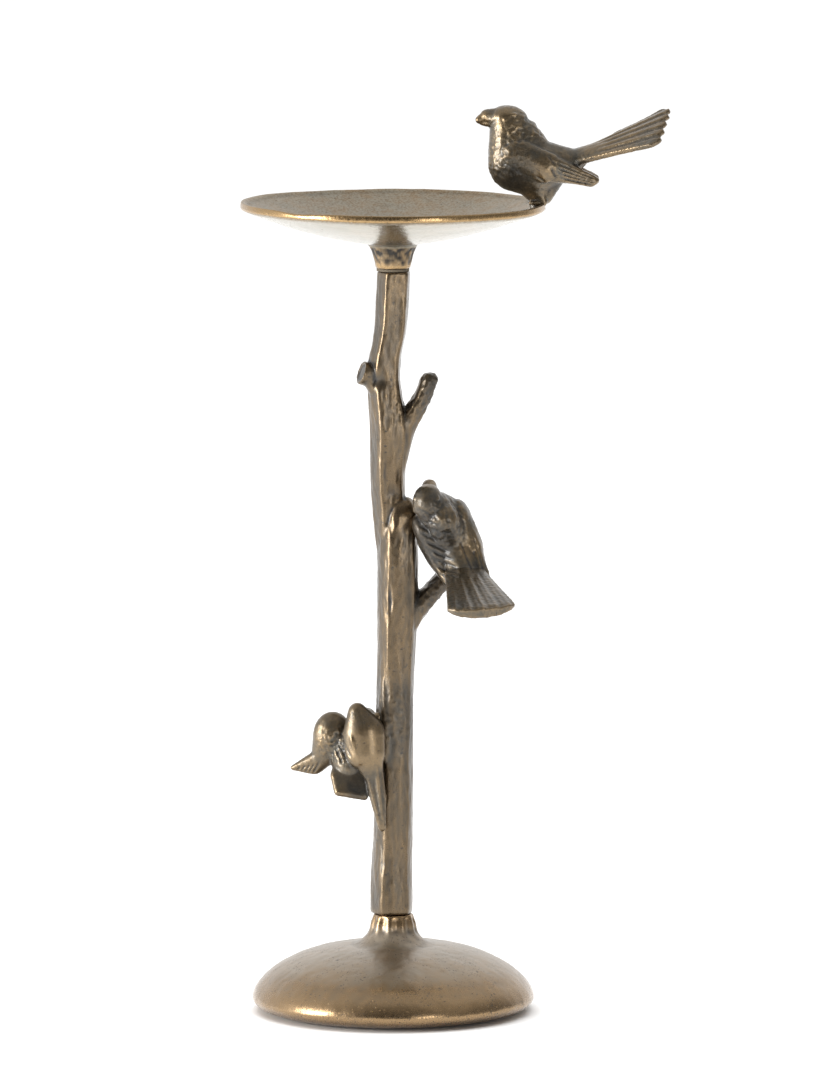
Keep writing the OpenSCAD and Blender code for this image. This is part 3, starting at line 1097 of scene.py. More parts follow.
@dataclass
class Stem:
    """The branch: trunk, upper branch, two twigs and a sawn knot, cast in one."""

    finish: bpy.types.Material
    grain: float = 0.5
    trunk: list[Ring] = field(default_factory=lambda: [
        (-0.4, 0, 40.6, 8.3), (-0.4, 0, 42, 8.75), (-0.35, 0, 50, 8.7), (-0.3, 0, 62, 8.4),
        (0.6, 0, 90, 8.0), (0.8, 0, 110, 7.8), (1.2, 0, 138, 7.9), (1.8, 0, 156, 8.3),
        (2.1, 0, 175, 8.7), (2.2, 0, 190, 8.6), (2.4, 0, 201, 7.9), (3.6, -0.6, 207.5, 6.4),
        (4.6, -0.8, 211.5, 4.2), (5, -0.8, 213, 1.8)])
    branch: list[Ring] = field(default_factory=lambda: [
        (0.4, 1, 180, 5), (-0.6, 1, 194, 6.4), (-1.4, 1, 208, 6.9), (-2, 0.6, 221, 7.3),
        (-1.6, 0.4, 232, 7.8), (-1.4, 0.2, 241, 8.1), (-2.8, 0, 253, 7.4), (-3.6, 0, 262, 7.0),
        (-3.2, 0, 270, 6.8), (-1.8, 0, 277, 6.6), (-0.7, 0, 284, 6.7), (0, 0, 296, 6.9),
        (0.5, 0, 304.5, 6.95), (0.5, 0, 306.4, 6.7)])
    upper_twig: list[Ring] = field(default_factory=lambda: [
        (-1.5, 0, 219, 4), (0.6, 0, 231, 5.4), (3.4, 0, 240, 5.9), (8, 0, 248, 4.9), (11.6, 0, 254, 4.3),
        (13.9, 0, 259, 4.1), (14.9, 0, 262.5, 3.6), (15.1, 0, 264.2, 2.2)])
    lower_twig: list[Ring] = field(default_factory=lambda: [
        (0, 0, 150, 6), (4.6, 0.4, 161, 6.9), (11.4, 1.2, 169.5, 6.2), (18, 2.2, 176, 5.7),
        (23.5, 3.4, 182.5, 5), (26, 4.2, 188.5, 4.3), (26.8, 4.6, 193, 3)])

    def knot(self) -> bpy.types.Object:
        """The sawn-off side branch on the left, its sawn face a little dished."""
        stub = bridge(((-4, -0.4, 257.5), (4.8, 5.4, 8)), ((-9.4, -1.4, 263.2), (3, 5.2, 5.8)))
        sawn = add_mesh(bpy.ops.mesh.primitive_cylinder_add, vertices=28, radius=4.9 * MM,
                        depth=7 * MM, location=metre(-10.0, -1.6, 263.8),
                        rotation=(math.radians(16), math.radians(-70), 0))
        select_where(sawn, lambda middles: middles[:, 0] < middles[:, 0].min() + 0.2)
        with editing(sawn, "FACE"):
            bpy.ops.mesh.inset(thickness=1.1 * MM)
            bpy.ops.mesh.extrude_region_move(TRANSFORM_OT_translate={"value": metre(0.7, 0.1, -0.2)})
        return join([stub, sawn])

    def burrs(self) -> list[bpy.types.Object]:
        """The folds of bark where the limbs part, and the worn shoulder of the trunk's stump."""
        return [
            bridge(((0.6, -1.6, 226), (4.6, 4, 6)), ((4.8, -0.6, 240.5), (4.2, 4.4, 5))),
            bridge(((5.2, -3.4, 200), (3.9, 3.9, 6)), ((6.2, -3, 206.4), (3.3, 3.4, 3.4))),
            bridge(((7.2, -0.5, 186), (3.2, 4.6, 6)), ((6.2, 0, 176), (4, 5, 6))),
            bridge(((4, 0, 158), (5.4, 6.4, 8)), ((8.4, 0.6, 166), (3.8, 5, 4.6))),
            bridge(((-2.6, -2.6, 110), (4.6, 5.4, 12)), ((-2.2, -2.2, 136), (3.4, 4.6, 10))),
        ]

    def nicks(self, points: np.ndarray) -> np.ndarray:
        """Presses the scoops and the split in the bark into the front of the branch."""
        moved = points.copy()
        scoops = [((0.8, -8.6, 215.5), (6, 5, 5), 1.7), ((-1.4, -8.8, 203), (2, 5, 4), 1.2),
                  ((-1.2, -9.2, 172), (1.2, 5, 8), 0.8), ((-6.4, -5.6, 262), (3.8, 4, 4), 1.5),
                  ((-2.6, -8.6, 134), (1.6, 5, 12), 0.7), ((-4.4, -7.6, 66), (1.4, 5, 12), 0.4),
                  ((2.6, -7.6, 283), (1.8, 4, 12), 0.4), ((-3.4, -6.4, 226), (1.4, 4, 12), 0.5)]
        for centre, size, depth in scoops:
            gap = np.linalg.norm((points - np.array(centre)) / np.array(size), axis=1)
            moved[:, 1] += depth * np.exp(-2.2 * gap ** 2)
        return moved

    def build(self) -> bpy.types.Object:
        """Builds the stem and hands it over."""
        limbs = [limb(self.trunk), limb(self.branch, corner_at=246, flatness=0.85),
                 limb(self.upper_twig, 4, 250, 0.3), limb(self.lower_twig, 4, 240, 0.3)]
        piece = join([*limbs, self.knot(), *self.burrs()], "stem_casting")
        cast(piece, self.grain)
        sculpt(piece, self.nicks)
        roughen(piece, Relief.WAVES, 6, 0.9, stretch=(1, 1, 4.5), where=self.free)
        roughen(piece, Relief.WAVES, 1.8, 0.35, stretch=(1, 1, 3), where=self.free)
        roughen(piece, Relief.WAVES, 2.2, 0.9, where=self.coarse)
        apply_modifier(piece, "SMOOTH", factor=0.4, iterations=1)
        shade(piece)
        note_hollows(piece, 14, 0.3)
        paint(piece, "polish_and_painted_light", self.rubbed(coordinates(piece)))
        return hand_over(piece, "stem_casting", Body.STAND, "bronze_bark", self.finish, "stem")

    def rubbed(self, points: np.ndarray) -> np.ndarray:
        """How bright each place is rubbed: most on the stump's shoulder and along the front, less on the
        twigs, with painted shade on the trunk beside the trunk bird's wing.
        """
        front = between(points[:, 0], -2.5, 3.5, 2.5) * (points[:, 1] < 0)
        shoulder = near(points, (5.4, -7.5, 207), 5, 3)
        # Besides the duller twigs, the patch round (-3, -6, 122) is painted shade: the trunk bird's near
        # wing shadows the trunk there.
        dull_and_painted_light = np.clip((points[:, 0] - 11) / 4, 0, 1) + near(points, (-3, -6, 122), 12, 10)
        return 0.48 + 0.2 * front + 0.5 * shoulder - 0.35 * np.clip(dull_and_painted_light, 0, 1)

    def free(self, points: np.ndarray) -> np.ndarray:
        """Where the bark may run uneven: not where the stem meets the base and the collar."""
        return between(points[:, 2], 42.5, 303, 3)

    def coarse(self, points: np.ndarray) -> np.ndarray:
        """Where the bark is coarse: on the twigs, in the forks and along one side of the trunk."""
        twigs = np.clip((points[:, 0] - 9.5) / 3, 0, 1)
        forks = near(points, (5, 0, 250), 5, 5) + 0.5 * near(points, (-4, -6, 122), 9, 8)
        return np.clip(twigs + forks, 0, 1)


# ---------------------------------------------------------------- feathers and birds

HEAD_REST: Point = (6.4, 0, 12.3)


@dataclass
class FeatherPlate:
    """Feathers side by side, cast as one plate that runs along -X from its root.

    Attributes:
        length: root to end.
        root_half: half the width at the root.
        end_half: half the width at the end.
        feathers: how many feathers lie side by side.
        root_thick: thickness at the root.
        thick: thickness at the end.
        step: height of the step from one feather to the next.
        scallop: depth of the notches in the end.
        arch: how far the sides droop.
        skew: how much longer the plate is at its +Y side than at its -Y side.
        bow: how much further its middle runs than its sides.
        keel: how many times thicker than its sides it hangs below its middle.
    """

    length: float
    root_half: float
    end_half: float
    feathers: int
    root_thick: float = 3
    thick: float = 3
    step: float = 0.9
    scallop: float = 1.6
    arch: float = 0.6
    skew: float = 0
    bow: float = 0
    keel: float = 0

    def shape(self, points: np.ndarray) -> np.ndarray:
        """Turns a block of unit half width into the fan.

        Args:
            points: the block's points, in millimetres.

        Returns:
            The moved points.
        """
        along = np.clip(-points[:, 0] / self.length, 0, 1)
        across = points[:, 1]
        lane = (across + 1) / 2 * self.feathers
        inside = lane - np.floor(np.minimum(lane, self.feathers - 0.001)) - 0.5
        end = self.length + self.skew * across - self.scallop * (2 * inside) ** 2 * along ** 6
        end -= 0.16 * self.end_half * np.abs(across) ** 5 + self.bow * across ** 2
        half = self.root_half + (self.end_half - self.root_half) * along ** 1.1
        face = np.sign(points[:, 2])
        thick = 0.5 * (self.root_thick + (self.thick - self.root_thick) * along)
        thick = thick * (1 - 0.25 * across ** 8) * (1 - 0.3 * np.clip(along - 0.94, 0, 1) / 0.06)
        thick = thick * (1 + self.keel * (face < 0) * along * (1 - across ** 2))
        rise = np.clip(4 * along, 0, 1)
        shaft = 0.35 * np.exp(-(inside / 0.1) ** 2) * (face > 0) * rise
        height = face * thick + self.step * inside * rise + shaft - self.arch * across ** 2
        return np.stack([-along * end, across * half, height], axis=1)

    def build(self) -> bpy.types.Object:
        """Builds the plate with the middle of its root at the origin.

        Returns:
            The closed plate.
        """
        plate = add_mesh(bpy.ops.mesh.primitive_cube_add, size=1,
                         location=metre(-self.length / 2, 0, 0), scale=metre(self.length, 2, 1))
        with editing(plate):
            bpy.ops.mesh.select_all(action="SELECT")
            bpy.ops.mesh.subdivide(number_cuts=35)
        sculpt(plate, self.shape)
        return plate


@dataclass
class PerchedBird:
    """A bird on its feet, modelled about the middle of its body and facing +X.

    Attributes:
        name: the piece's name.
        node: the CAD node that it stands for.
        body: the body that it moves with.
        place: the matrix that puts the bird in place.
        tail_turn: the tail's turn about X, Y and Z.
        tail: the tail's feathers.
        wing_tip: the wing's tip, on the left.
        wing_roll: how far the wing's face leans out from the back, in degrees.
        beak_half: half the beak's width at its tip.
        blade_y: how far out the root of the flight feathers lies.
        finish: its material.
        polished: places rubbed bright, as (middle, reach, share).
        dulled_and_painted_light: places painted darker for the shade they lie in, as (middle, reach,
            share).
        side_strokes: grooves in the sides, as (x, z, x, z).
        top_strokes: grooves in the back, as (x, y, x, y).
        chest: how strongly the small feathers stand up, in millimetres.
        head_at: the middle of its head.
        head_turn: the head's turn about X, Y and Z.
        head_size: the head's size against a head at full scale.
        spread: how much further out the left and the right shoulder lie.
        grain: the mesh's pitch, in millimetres.
    """

    name: str
    node: str
    body: Body
    place: Matrix
    tail_turn: Point
    tail: FeatherPlate
    wing_tip: Point
    wing_roll: float
    beak_half: float
    blade_y: float
    finish: bpy.types.Material
    polished: Sequence[tuple[Point, float, float]] = ()
    dulled_and_painted_light: Sequence[tuple[Point, float, float]] = ()
    side_strokes: Sequence[Stroke] = ()
    top_strokes: Sequence[Stroke] = ()
    chest: float = 0.7
    head_at: Point = HEAD_REST
    head_turn: Point = (0, 0, 0)
    head_size: float = 1
    spread: tuple[float, float] = (0, 0)
    grain: float = 0.38

    def torso(self) -> list[bpy.types.Object]:
        """Breast, belly, back, rump and neck."""
        breast = ((4.2, 0, -3), (11, 9.6, 12))
        belly = ((-3, 0, -5), (11, 9.4, 12))
        rump = ((-15, 0, -3.6), (7.4, 7, 7.2))
        chest = ((4.6, 0, 2.4), (10.4, 8.6, 9))
        head = (self.head_at, tuple(self.head_size * half for half in (8.0, 7, 8.0)))
        return [bridge(breast, belly), bridge(belly, rump), bridge(breast, chest), bridge(chest, head),
                bridge(rump, ((-21.5, 0, -1.6), (4.6, 4.6, 3.6))),
                bridge(((1.8, 0, 7.6), (8, 7, 7.6)), ((-5, 0, -1), (8, 7.6, 7))),
                bridge(((-2, 0, 1.6), (8, 8.4, 4.6)), ((-15.5, 0, -1.8), (6, 6.6, 3.6)))]

    def face(self) -> list[bpy.types.Object]:
        """The stout beak, the cheeks, and an eye under a brow on each side."""
        tip = self.beak_half
        turn = Matrix.Translation(metre(*self.head_at)) @ turned(*self.head_turn)
        place = turn @ Matrix.Scale(self.head_size, 4) @ Matrix.Translation(-metre(*HEAD_REST))
        parts = [
            bridge(((12.4, 0, 15.0), (3, 4.2, 4.2)), ((16, 0, 15.9), (2.4, tip + 0.6, 2.8))),
            bridge(((15.8, 0, 15.7), (2.4, tip + 0.5, 2.7)), ((18.7, 0, 14.4), (1.8, tip - 0.2, 1.7))),
            bridge(((13, 0, 12.8), (2.2, 3, 1.9)), ((17.2, 0, 13.0), (1.6, tip - 0.4, 1.0))),
            lump((7.6, 0, 15.4), (7.2, 6.4, 5.0)),
        ]
        for side in Side:
            way = side.value
            parts += [lump((8.2, way * 5.6, 15.0), (1.2, 1.3, 1.1), detail=16),
                      bridge(((4.6, way * 5.2, 17.0), (1.4, 1.1, 0.8)),
                             ((12.0, way * 3.8, 16.9), (1.0, 0.9, 0.7))),
                      lump((6.2, way * 4.4, 10.9), (4.6, 2.9, 3.8))]
        for part in parts:
            put(part, place)
        return parts

    def wing(self, side: Side) -> list[bpy.types.Object]:
        """A folded wing: a smooth shoulder, a patch of coverts and a plate of flight feathers.

        Args:
            side: the side that it lies on.

        Returns:
            Its parts, with a filler under the shoulder if that is spread.
        """
        way = side.value
        x, y, z = self.wing_tip
        out = self.spread[0] if side is Side.LEFT else self.spread[1]
        elbow = (-8, way * (7.8 + out * 0.6), -4.4)
        parts = [bridge(((3, way * (7.3 + out), 0), (7, 3, 6.8)), (elbow, (7.2, 2.8, 6.4))),
                 bridge((elbow, (6.6, 2.5, 6)), ((x, way * y, z), (3.4, 2.4, 2.2))),
                 bridge(((-1.5, way * (8.9 + out), -0.5), (3.4, 1.6, 3.2)),
                        ((-8.5, way * (8.9 + out * 0.6), -4.6), (3.6, 1.9, 3.4)))]
        reach = math.hypot(x + 6, z + 3.6)
        drop = math.degrees(math.atan2(z + 3.6, x + 6)) + 180
        inward = math.degrees(math.atan2(self.blade_y - y, -6 - x))
        lean = math.radians(self.wing_roll)
        lift = (1.6 * math.sin(lean), 1.6 * math.cos(lean))
        if out:
            parts.append(bridge(((3, way * (7.1 + out), 1), (7, 3, 6.6)), ((-1, 0, 1), (9, 7, 7)),
                                ((-9, way * (5 + out * 0.7), -3), (6, 3, 6))))
        plate = FeatherPlate(reach + 2.6, 4.4, 2.6, 4, 2.4, 1.8, 0.45, 0.5, 0.5, bow=1.2).build()
        parts.append(copy_of(plate, placed((-6, way * (self.blade_y + lift[0]), -3.6 + lift[1]),
                                           -self.wing_roll * way, -drop, inward * way)))
        discard(plate)
        return parts

    def tail_parts(self) -> list[bpy.types.Object]:
        """The fanned tail on its tapering root."""
        hinge = placed((-18.6, 0, -1.8), *self.tail_turn)
        fan = self.tail.build()
        root = bridge(((0, 0, 0), (5, 4.6, 3.4)), ((-15, 0, 0), (5, 5.4, 1.5)))
        parts = [copy_of(fan, hinge), copy_of(root, hinge)]
        discard(fan)
        discard(root)
        return parts

    def feet(self) -> list[bpy.types.Object]:
        """Two short legs with gripping toes, and the thick down above them."""
        parts = [bridge(((-3, 0, -12), (8, 6.5, 4.6)), ((-5.8, 0, -17), (5.4, 4.6, 2.8))),
                 bridge(((-13, 0, -10), (3, 3.6, 3)), ((-8.4, 0, -18.2), (2.4, 3, 2)))]
        for side in Side:
            y = side.value * 3.2
            parts.append(bridge(((-6, y, -15), (2.2, 1.8, 2)), ((-7.6, y, -19.2), (1.6, 1.5, 1.6))))
            for spread, reach in ((-1.7, 4.4), (0, 5.4), (1.7, 4.4)):
                parts.append(bridge(((-7.6, y, -19.4), (1.2, 1.0, 1.0)),
                                    ((-7.6 + reach, y + spread, -19.4), (0.9, 0.8, 0.9))))
        return parts

    def downy(self, points: np.ndarray) -> np.ndarray:
        """Where small feathers stand up: breast, neck, nape and flanks, but not face or wings."""
        front = near(points, (6, 0, -2), 9, 4)
        neck = near(points, (2, 0, 8), 8, 4)
        face = near(points, (15, 0, 15), 6, 3)
        wings = (np.abs(points[:, 1]) > 8.4) * between(points[:, 0], -40, -1, 2)
        return np.clip(front + neck, 0, 1) * (1 - face) * (1 - wings)

    def wear_and_painted_light(self, points: np.ndarray) -> np.ndarray:
        """How bright each place is rubbed, and darker where shade is painted in."""
        share = np.full(len(points), 0.42)
        for centre, reach, amount in self.polished:
            share += amount * near(points, centre, reach * 0.5, reach * 0.5)
        # Painted shade: these places are darkened for the shade they lie in.
        for centre, reach, amount in self.dulled_and_painted_light:
            share -= amount * near(points, centre, reach * 0.5, reach * 0.5)
        return share

    def build(self) -> bpy.types.Object:
        """Builds the bird in place and hands it over."""
        parts = [*self.torso(), *self.face(), *self.wing(Side.LEFT), *self.wing(Side.RIGHT),
                 *self.tail_parts(), *self.feet()]
        piece = join(parts, self.name)
        cast(piece, self.grain, 8)
        score(piece, 1, self.side_strokes)
        score(piece, 2, self.top_strokes, way=1)
        roughen(piece, Relief.WAVES, 3.2, self.chest, stretch=(1.3, 1, 1), turn=(0, 30, 0),
                where=self.downy)
        roughen(piece, Relief.LUMPS, 1.9, self.chest * 0.6, stretch=(1.5, 1, 1), where=self.downy)
        roughen(piece, Relief.WAVES, 1.5, 0.3)
        apply_modifier(piece, "SMOOTH", factor=0.4, iterations=1)
        note_hollows(piece, 10, 0.28)
        paint(piece, "polish_and_painted_light", self.wear_and_painted_light(coordinates(piece)))
        put(piece, self.place)
        shade(piece)
        return hand_over(piece, self.name, self.body, "bronze_feather", self.finish, self.node)


@dataclass
class TrunkBird:
    """The bird that clings to the trunk's left with open wings, its tail to the front."""

    finish: bpy.types.Material
    grain: float = 0.36

    def torso(self) -> list[bpy.types.Object]:
        """Back, head against the bark, and the blunt block of the tail."""
        back = ((-18.4, 0, 110), (9.2, 8.4, 9.2))
        loin = ((-17.4, -3.6, 102), (7.4, 7.2, 7.2))
        head = ((-11.6, 3.5, 119), (6, 6.6, 6.4))
        tail = bridge(*[(at, (1.7, 1.7, 1.7)) for at in (
            (-22.6, -11.6, 92.6), (-11.8, -11.6, 90.8), (-24.2, -8, 99), (-12, -8, 101),
            (-22, -5.5, 95), (-12, -5, 94), (-22.6, -3, 104), (-12, -3, 104))])
        return [bridge(back, loin), bridge(back, head), tail,
                bridge(((-12, 6, 119.6), (4, 4, 3.6)), ((-10.4, 12, 122.2), (1.4, 1.2, 1.4))),
                bridge(back, ((-13, -7, 113.4), (5.4, 4.4, 7))),
                bridge(((-11, -1, 119), (4, 4.4, 4)), ((-6, -4, 122.6), (2, 2, 2.2))),
                bridge(loin, ((-10.6, -2, 105), (4, 5, 6)))]

    def near_wing(self) -> list[bpy.types.Object]:
        """The wing at the front: a ridged dome under a knob, and a long narrow blade."""
        dome = bridge(((-14.6, -10.6, 125.2), (4, 3.8, 4.4)), ((-11.9, -10.8, 116), (8.8, 6, 9.6)),
                      ((-11.2, -11.8, 108.4), (8.2, 5.4, 7)))
        ridge = [bridge(((-17.6, -12.6, 122), (1.2, 1.2, 1.6)), ((-16.6, -15.2, 114.5), (1.2, 1.2, 1.6))),
                 bridge(((-16.6, -15.2, 114.5), (1.2, 1.2, 1.6)), ((-13.6, -15.6, 106), (1.3, 1.3, 1.6))),
                 bridge(((-17, -12, 118), (1.8, 2.6, 3.6)), ((-14, -13.6, 107.6), (2.2, 2, 2.6)))]
        neck = bridge(((-10.4, -12.4, 107), (6.6, 4.4, 5.4)), ((-8, -12.7, 98.6), (3.6, 2, 2.6)))
        blade = bridge(((-9.8, -12.4, 102), (2.6, 1.8, 2.6)), ((-6.4, -12.6, 103), (2.2, 1.8, 2.4)),
                       ((-7.2, -13, 90), (2.4, 1.4, 2)), ((-5.0, -12.9, 91.6), (2.1, 1.4, 2)),
                       ((-4.5, -13, 78.6), (1.8, 1.4, 2.4)))
        shafts = [bridge(((-6.9, -14.4, 104), (1.1, 1.3, 1.4)), ((-4.4, -13.9, 82), (0.7, 0.9, 0.8))),
                  bridge(((-10.6, -13.6, 101), (0.9, 1.0, 1.0)), ((-6.2, -14, 83), (0.6, 0.8, 0.7)))]
        return [dome, *ridge, neck, blade, *shafts]

    def far_wing(self) -> list[bpy.types.Object]:
        """The wing that spreads to the left and back."""
        return [
            bridge(((-24.8, -1.4, 114.6), (8.2, 6, 10)), ((-27.4, 0, 107.4), (6.2, 4.4, 5.6))),
            bridge(((-28.4, 0, 105.6), (5, 3.6, 4.2)), ((-32.4, 0.8, 102.4), (4.4, 2.6, 4.4)),
                   ((-40.9, 2.2, 100.7), (1.5, 1.3, 1.2))),
        ]

    def downy(self, points: np.ndarray) -> np.ndarray:
        """Where small feathers stand up: over the back between the wings, and on the head."""
        back = near(points, (-21.5, -6, 111), 5.5, 4)
        return np.clip(back + near(points, (-10.5, 5, 120), 6, 4), 0, 1)

    def wear_and_painted_light(self, points: np.ndarray) -> np.ndarray:
        """How bright each place is rubbed: most on the near wing's dome, with painted shade beside it and
        between the wings.
        """
        dome = near(points, (-9.5, -15, 112), 7, 4) + 0.5 * near(points, (-27, -4, 114), 5, 4)
        # The darker places are painted shade: the tail's side beside the near wing, which shadows it, and
        # the dip between the wings.
        dark = near(points, (-14, -11, 95), 4, 4) + near(points, (-20.5, -7, 113), 3, 3)
        return 0.42 + 0.5 * dome - 0.35 * np.clip(dark, 0, 1)

    def build(self) -> bpy.types.Object:
        """Builds the bird and hands it over."""
        piece = join([*self.torso(), *self.near_wing(), *self.far_wing()], "trunk_bird_casting")
        cast(piece, self.grain, 12)
        strokes = [(-30.5 - 1.9 * row, 103.5 - 0.5 * row, -33 - 1.6 * row, 98.6 + 0.3 * row)
                   for row in range(5)]
        strokes += [(-23.4 + 1.7 * row, 109.5 + 1.6 * row, -20.6 + 1.7 * row, 104 + 1.6 * row)
                    for row in range(3)]
        score(piece, 1, strokes, 0.5, 0.4, way=-1)
        roughen(piece, Relief.WAVES, 3, 0.9, where=self.downy)
        roughen(piece, Relief.LUMPS, 1.9, 0.4, where=self.downy)
        roughen(piece, Relief.WAVES, 1.5, 0.22,
                where=lambda points: 1 - near(points, (-10, -15, 113), 9, 4))
        apply_modifier(piece, "SMOOTH", factor=0.4, iterations=1)
        shade(piece)
        note_hollows(piece, 10, 0.28)
        paint(piece, "polish_and_painted_light", self.wear_and_painted_light(coordinates(piece)))
        return hand_over(piece, "trunk_bird_casting", Body.STAND, "bronze_feather", self.finish,
                         "trunk_bird")


# ---------------------------------------------------------------- hardware


@dataclass
class Hardware:
    """Bolt, stud, screw, washers and pins that hold the castings together."""

    steel: bpy.types.Material
    fibre: bpy.types.Material
    dish: Dish
    pitch: float = 1.25
    screw_pitch: float = 0.7
    sides: int = 36
    crease: float = 35

    def thread(self, diameter: float, length: float, pitch: float) -> bpy.types.Object:
        """A screw thread: one tooth wound up Z with the screw modifier, its ends cut square.

        Args:
            diameter: the outer diameter.
            length: its length from z = 0.
            pitch: the rise of one turn.

        Returns:
            The closed threaded rod.
        """
        crest, root = diameter / 2, diameter / 2 - 0.61 * pitch
        rod = add_mesh(bpy.ops.mesh.primitive_plane_add, size=MM, location=metre(root, 0, -2 * pitch))
        with editing(rod):
            bpy.ops.mesh.select_all(action="SELECT")
            bpy.ops.mesh.merge(type="CENTER")
            for out, rise in ((0, 0.12), (crest - root, 0.32), (0, 0.12), (root - crest, 0.44)):
                bpy.ops.mesh.extrude_region_move(
                    TRANSFORM_OT_translate={"value": metre(out, 0, rise * pitch)})
        turns = math.ceil(length / pitch) + 4
        apply_modifier(rod, "SCREW", axis="Z", angle=math.tau, screw_offset=pitch * MM,
                       steps=self.sides, render_steps=self.sides, iterations=turns,
                       use_merge_vertices=True, merge_threshold=WELD)
        with editing(rod):
            for height, way in ((0, -1), (length, 1)):
                bpy.ops.mesh.select_all(action="SELECT")
                bpy.ops.mesh.bisect(plane_co=metre(0, 0, height), plane_no=(0, 0, way),
                                    use_fill=True, clear_outer=True)
            bpy.ops.mesh.select_all(action="SELECT")
            bpy.ops.mesh.remove_doubles(threshold=WELD)
            bpy.ops.mesh.normals_make_consistent(inside=False)
        return rod

    def stud(self) -> bpy.types.Object:
        """The threaded stud in the stem's top, which the dish screws down on."""
        low, high = node_box("dish_stud")
        diameter, point_h = high.x - low.x, 0.8
        rod_h = high.z - low.z - point_h
        rod = self.thread(diameter, rod_h, self.pitch)
        point = lathe([(0, 0), (diameter / 2 - 0.9, 0), (diameter / 2 - 1.3, point_h), (0, point_h)],
                      self.sides, "point")
        put(point, placed((0, 0, rod_h)))
        piece = join([rod, point])
        put(piece, placed((0, 0, low.z)))
        shade(piece, self.crease)
        return hand_over(piece, "threaded_stud", Body.STAND, "steel", self.steel, "dish_stud")

    def bolt(self) -> bpy.types.Object:
        """The hexagon bolt up through the base, with a chamfered head and a threaded end."""
        low, high = node_box("base_bolt")
        head_h, shank_r, threaded, overlap = 5.2, 4.0, 20, 0.4
        head = add_mesh(bpy.ops.mesh.primitive_cylinder_add, vertices=6, radius=high.x * MM,
                        depth=head_h * MM, location=metre(0, 0, low.z + head_h / 2),
                        rotation=(0, 0, math.radians(30)))
        with editing(head, "EDGE"):
            bpy.ops.mesh.select_all(action="SELECT")
            bpy.ops.mesh.bevel(offset=0.35 * MM, segments=2)
        foot, top = low.z + head_h - 0.5, high.z - threaded
        shank = lathe([(0, foot), (shank_r, foot), (shank_r, top - 0.6), (shank_r - 0.7, top), (0, top)],
                      self.sides, "shank")
        rod = self.thread(2 * shank_r, high.z - top + overlap, self.pitch)
        put(rod, placed((0, 0, top - overlap)))
        piece = join([head, shank, rod])
        shade(piece, self.crease)
        return hand_over(piece, "hexagon_bolt", Body.STAND, "steel", self.steel, "base_bolt")

    def screw(self) -> bpy.types.Object:
        """The countersunk screw of the rim bird, with a hexagon socket."""
        head_r, shank_r, length, thread_foot = 3.8, 2.0, 12.0, 4
        shank = lathe([(0, 0.02), (head_r, 0.02), (head_r, 0.25), (shank_r, 2.0), (shank_r, 4.5),
                       (0, 4.5)], self.sides, "head")
        socket = add_mesh(bpy.ops.mesh.primitive_cylinder_add, vertices=6, radius=1.45 * MM,
                          depth=2.4 * MM)
        apply_modifier(shank, "BOOLEAN", operation="DIFFERENCE", solver="EXACT", object=socket)
        discard(socket)
        rod = self.thread(2 * shank_r, length - thread_foot, self.screw_pitch)
        put(rod, placed((0, 0, thread_foot)))
        piece = join([shank, rod])
        put(piece, self.dish.screw_place())
        shade(piece, self.crease)
        return hand_over(piece, "countersunk_screw", Body.DISH, "steel", self.steel, "rim_bird_screw")

    def build(self) -> None:
        """Builds the threaded pieces and dresses the plain ones."""
        self.stud()
        self.bolt()
        self.screw()
        for node in ("base_washer", "twig_bird_pin", "trunk_bird_pin"):
            dress_node(node, self.steel)
        dress_node("dish_washer", self.fibre)


# ---------------------------------------------------------------- studio


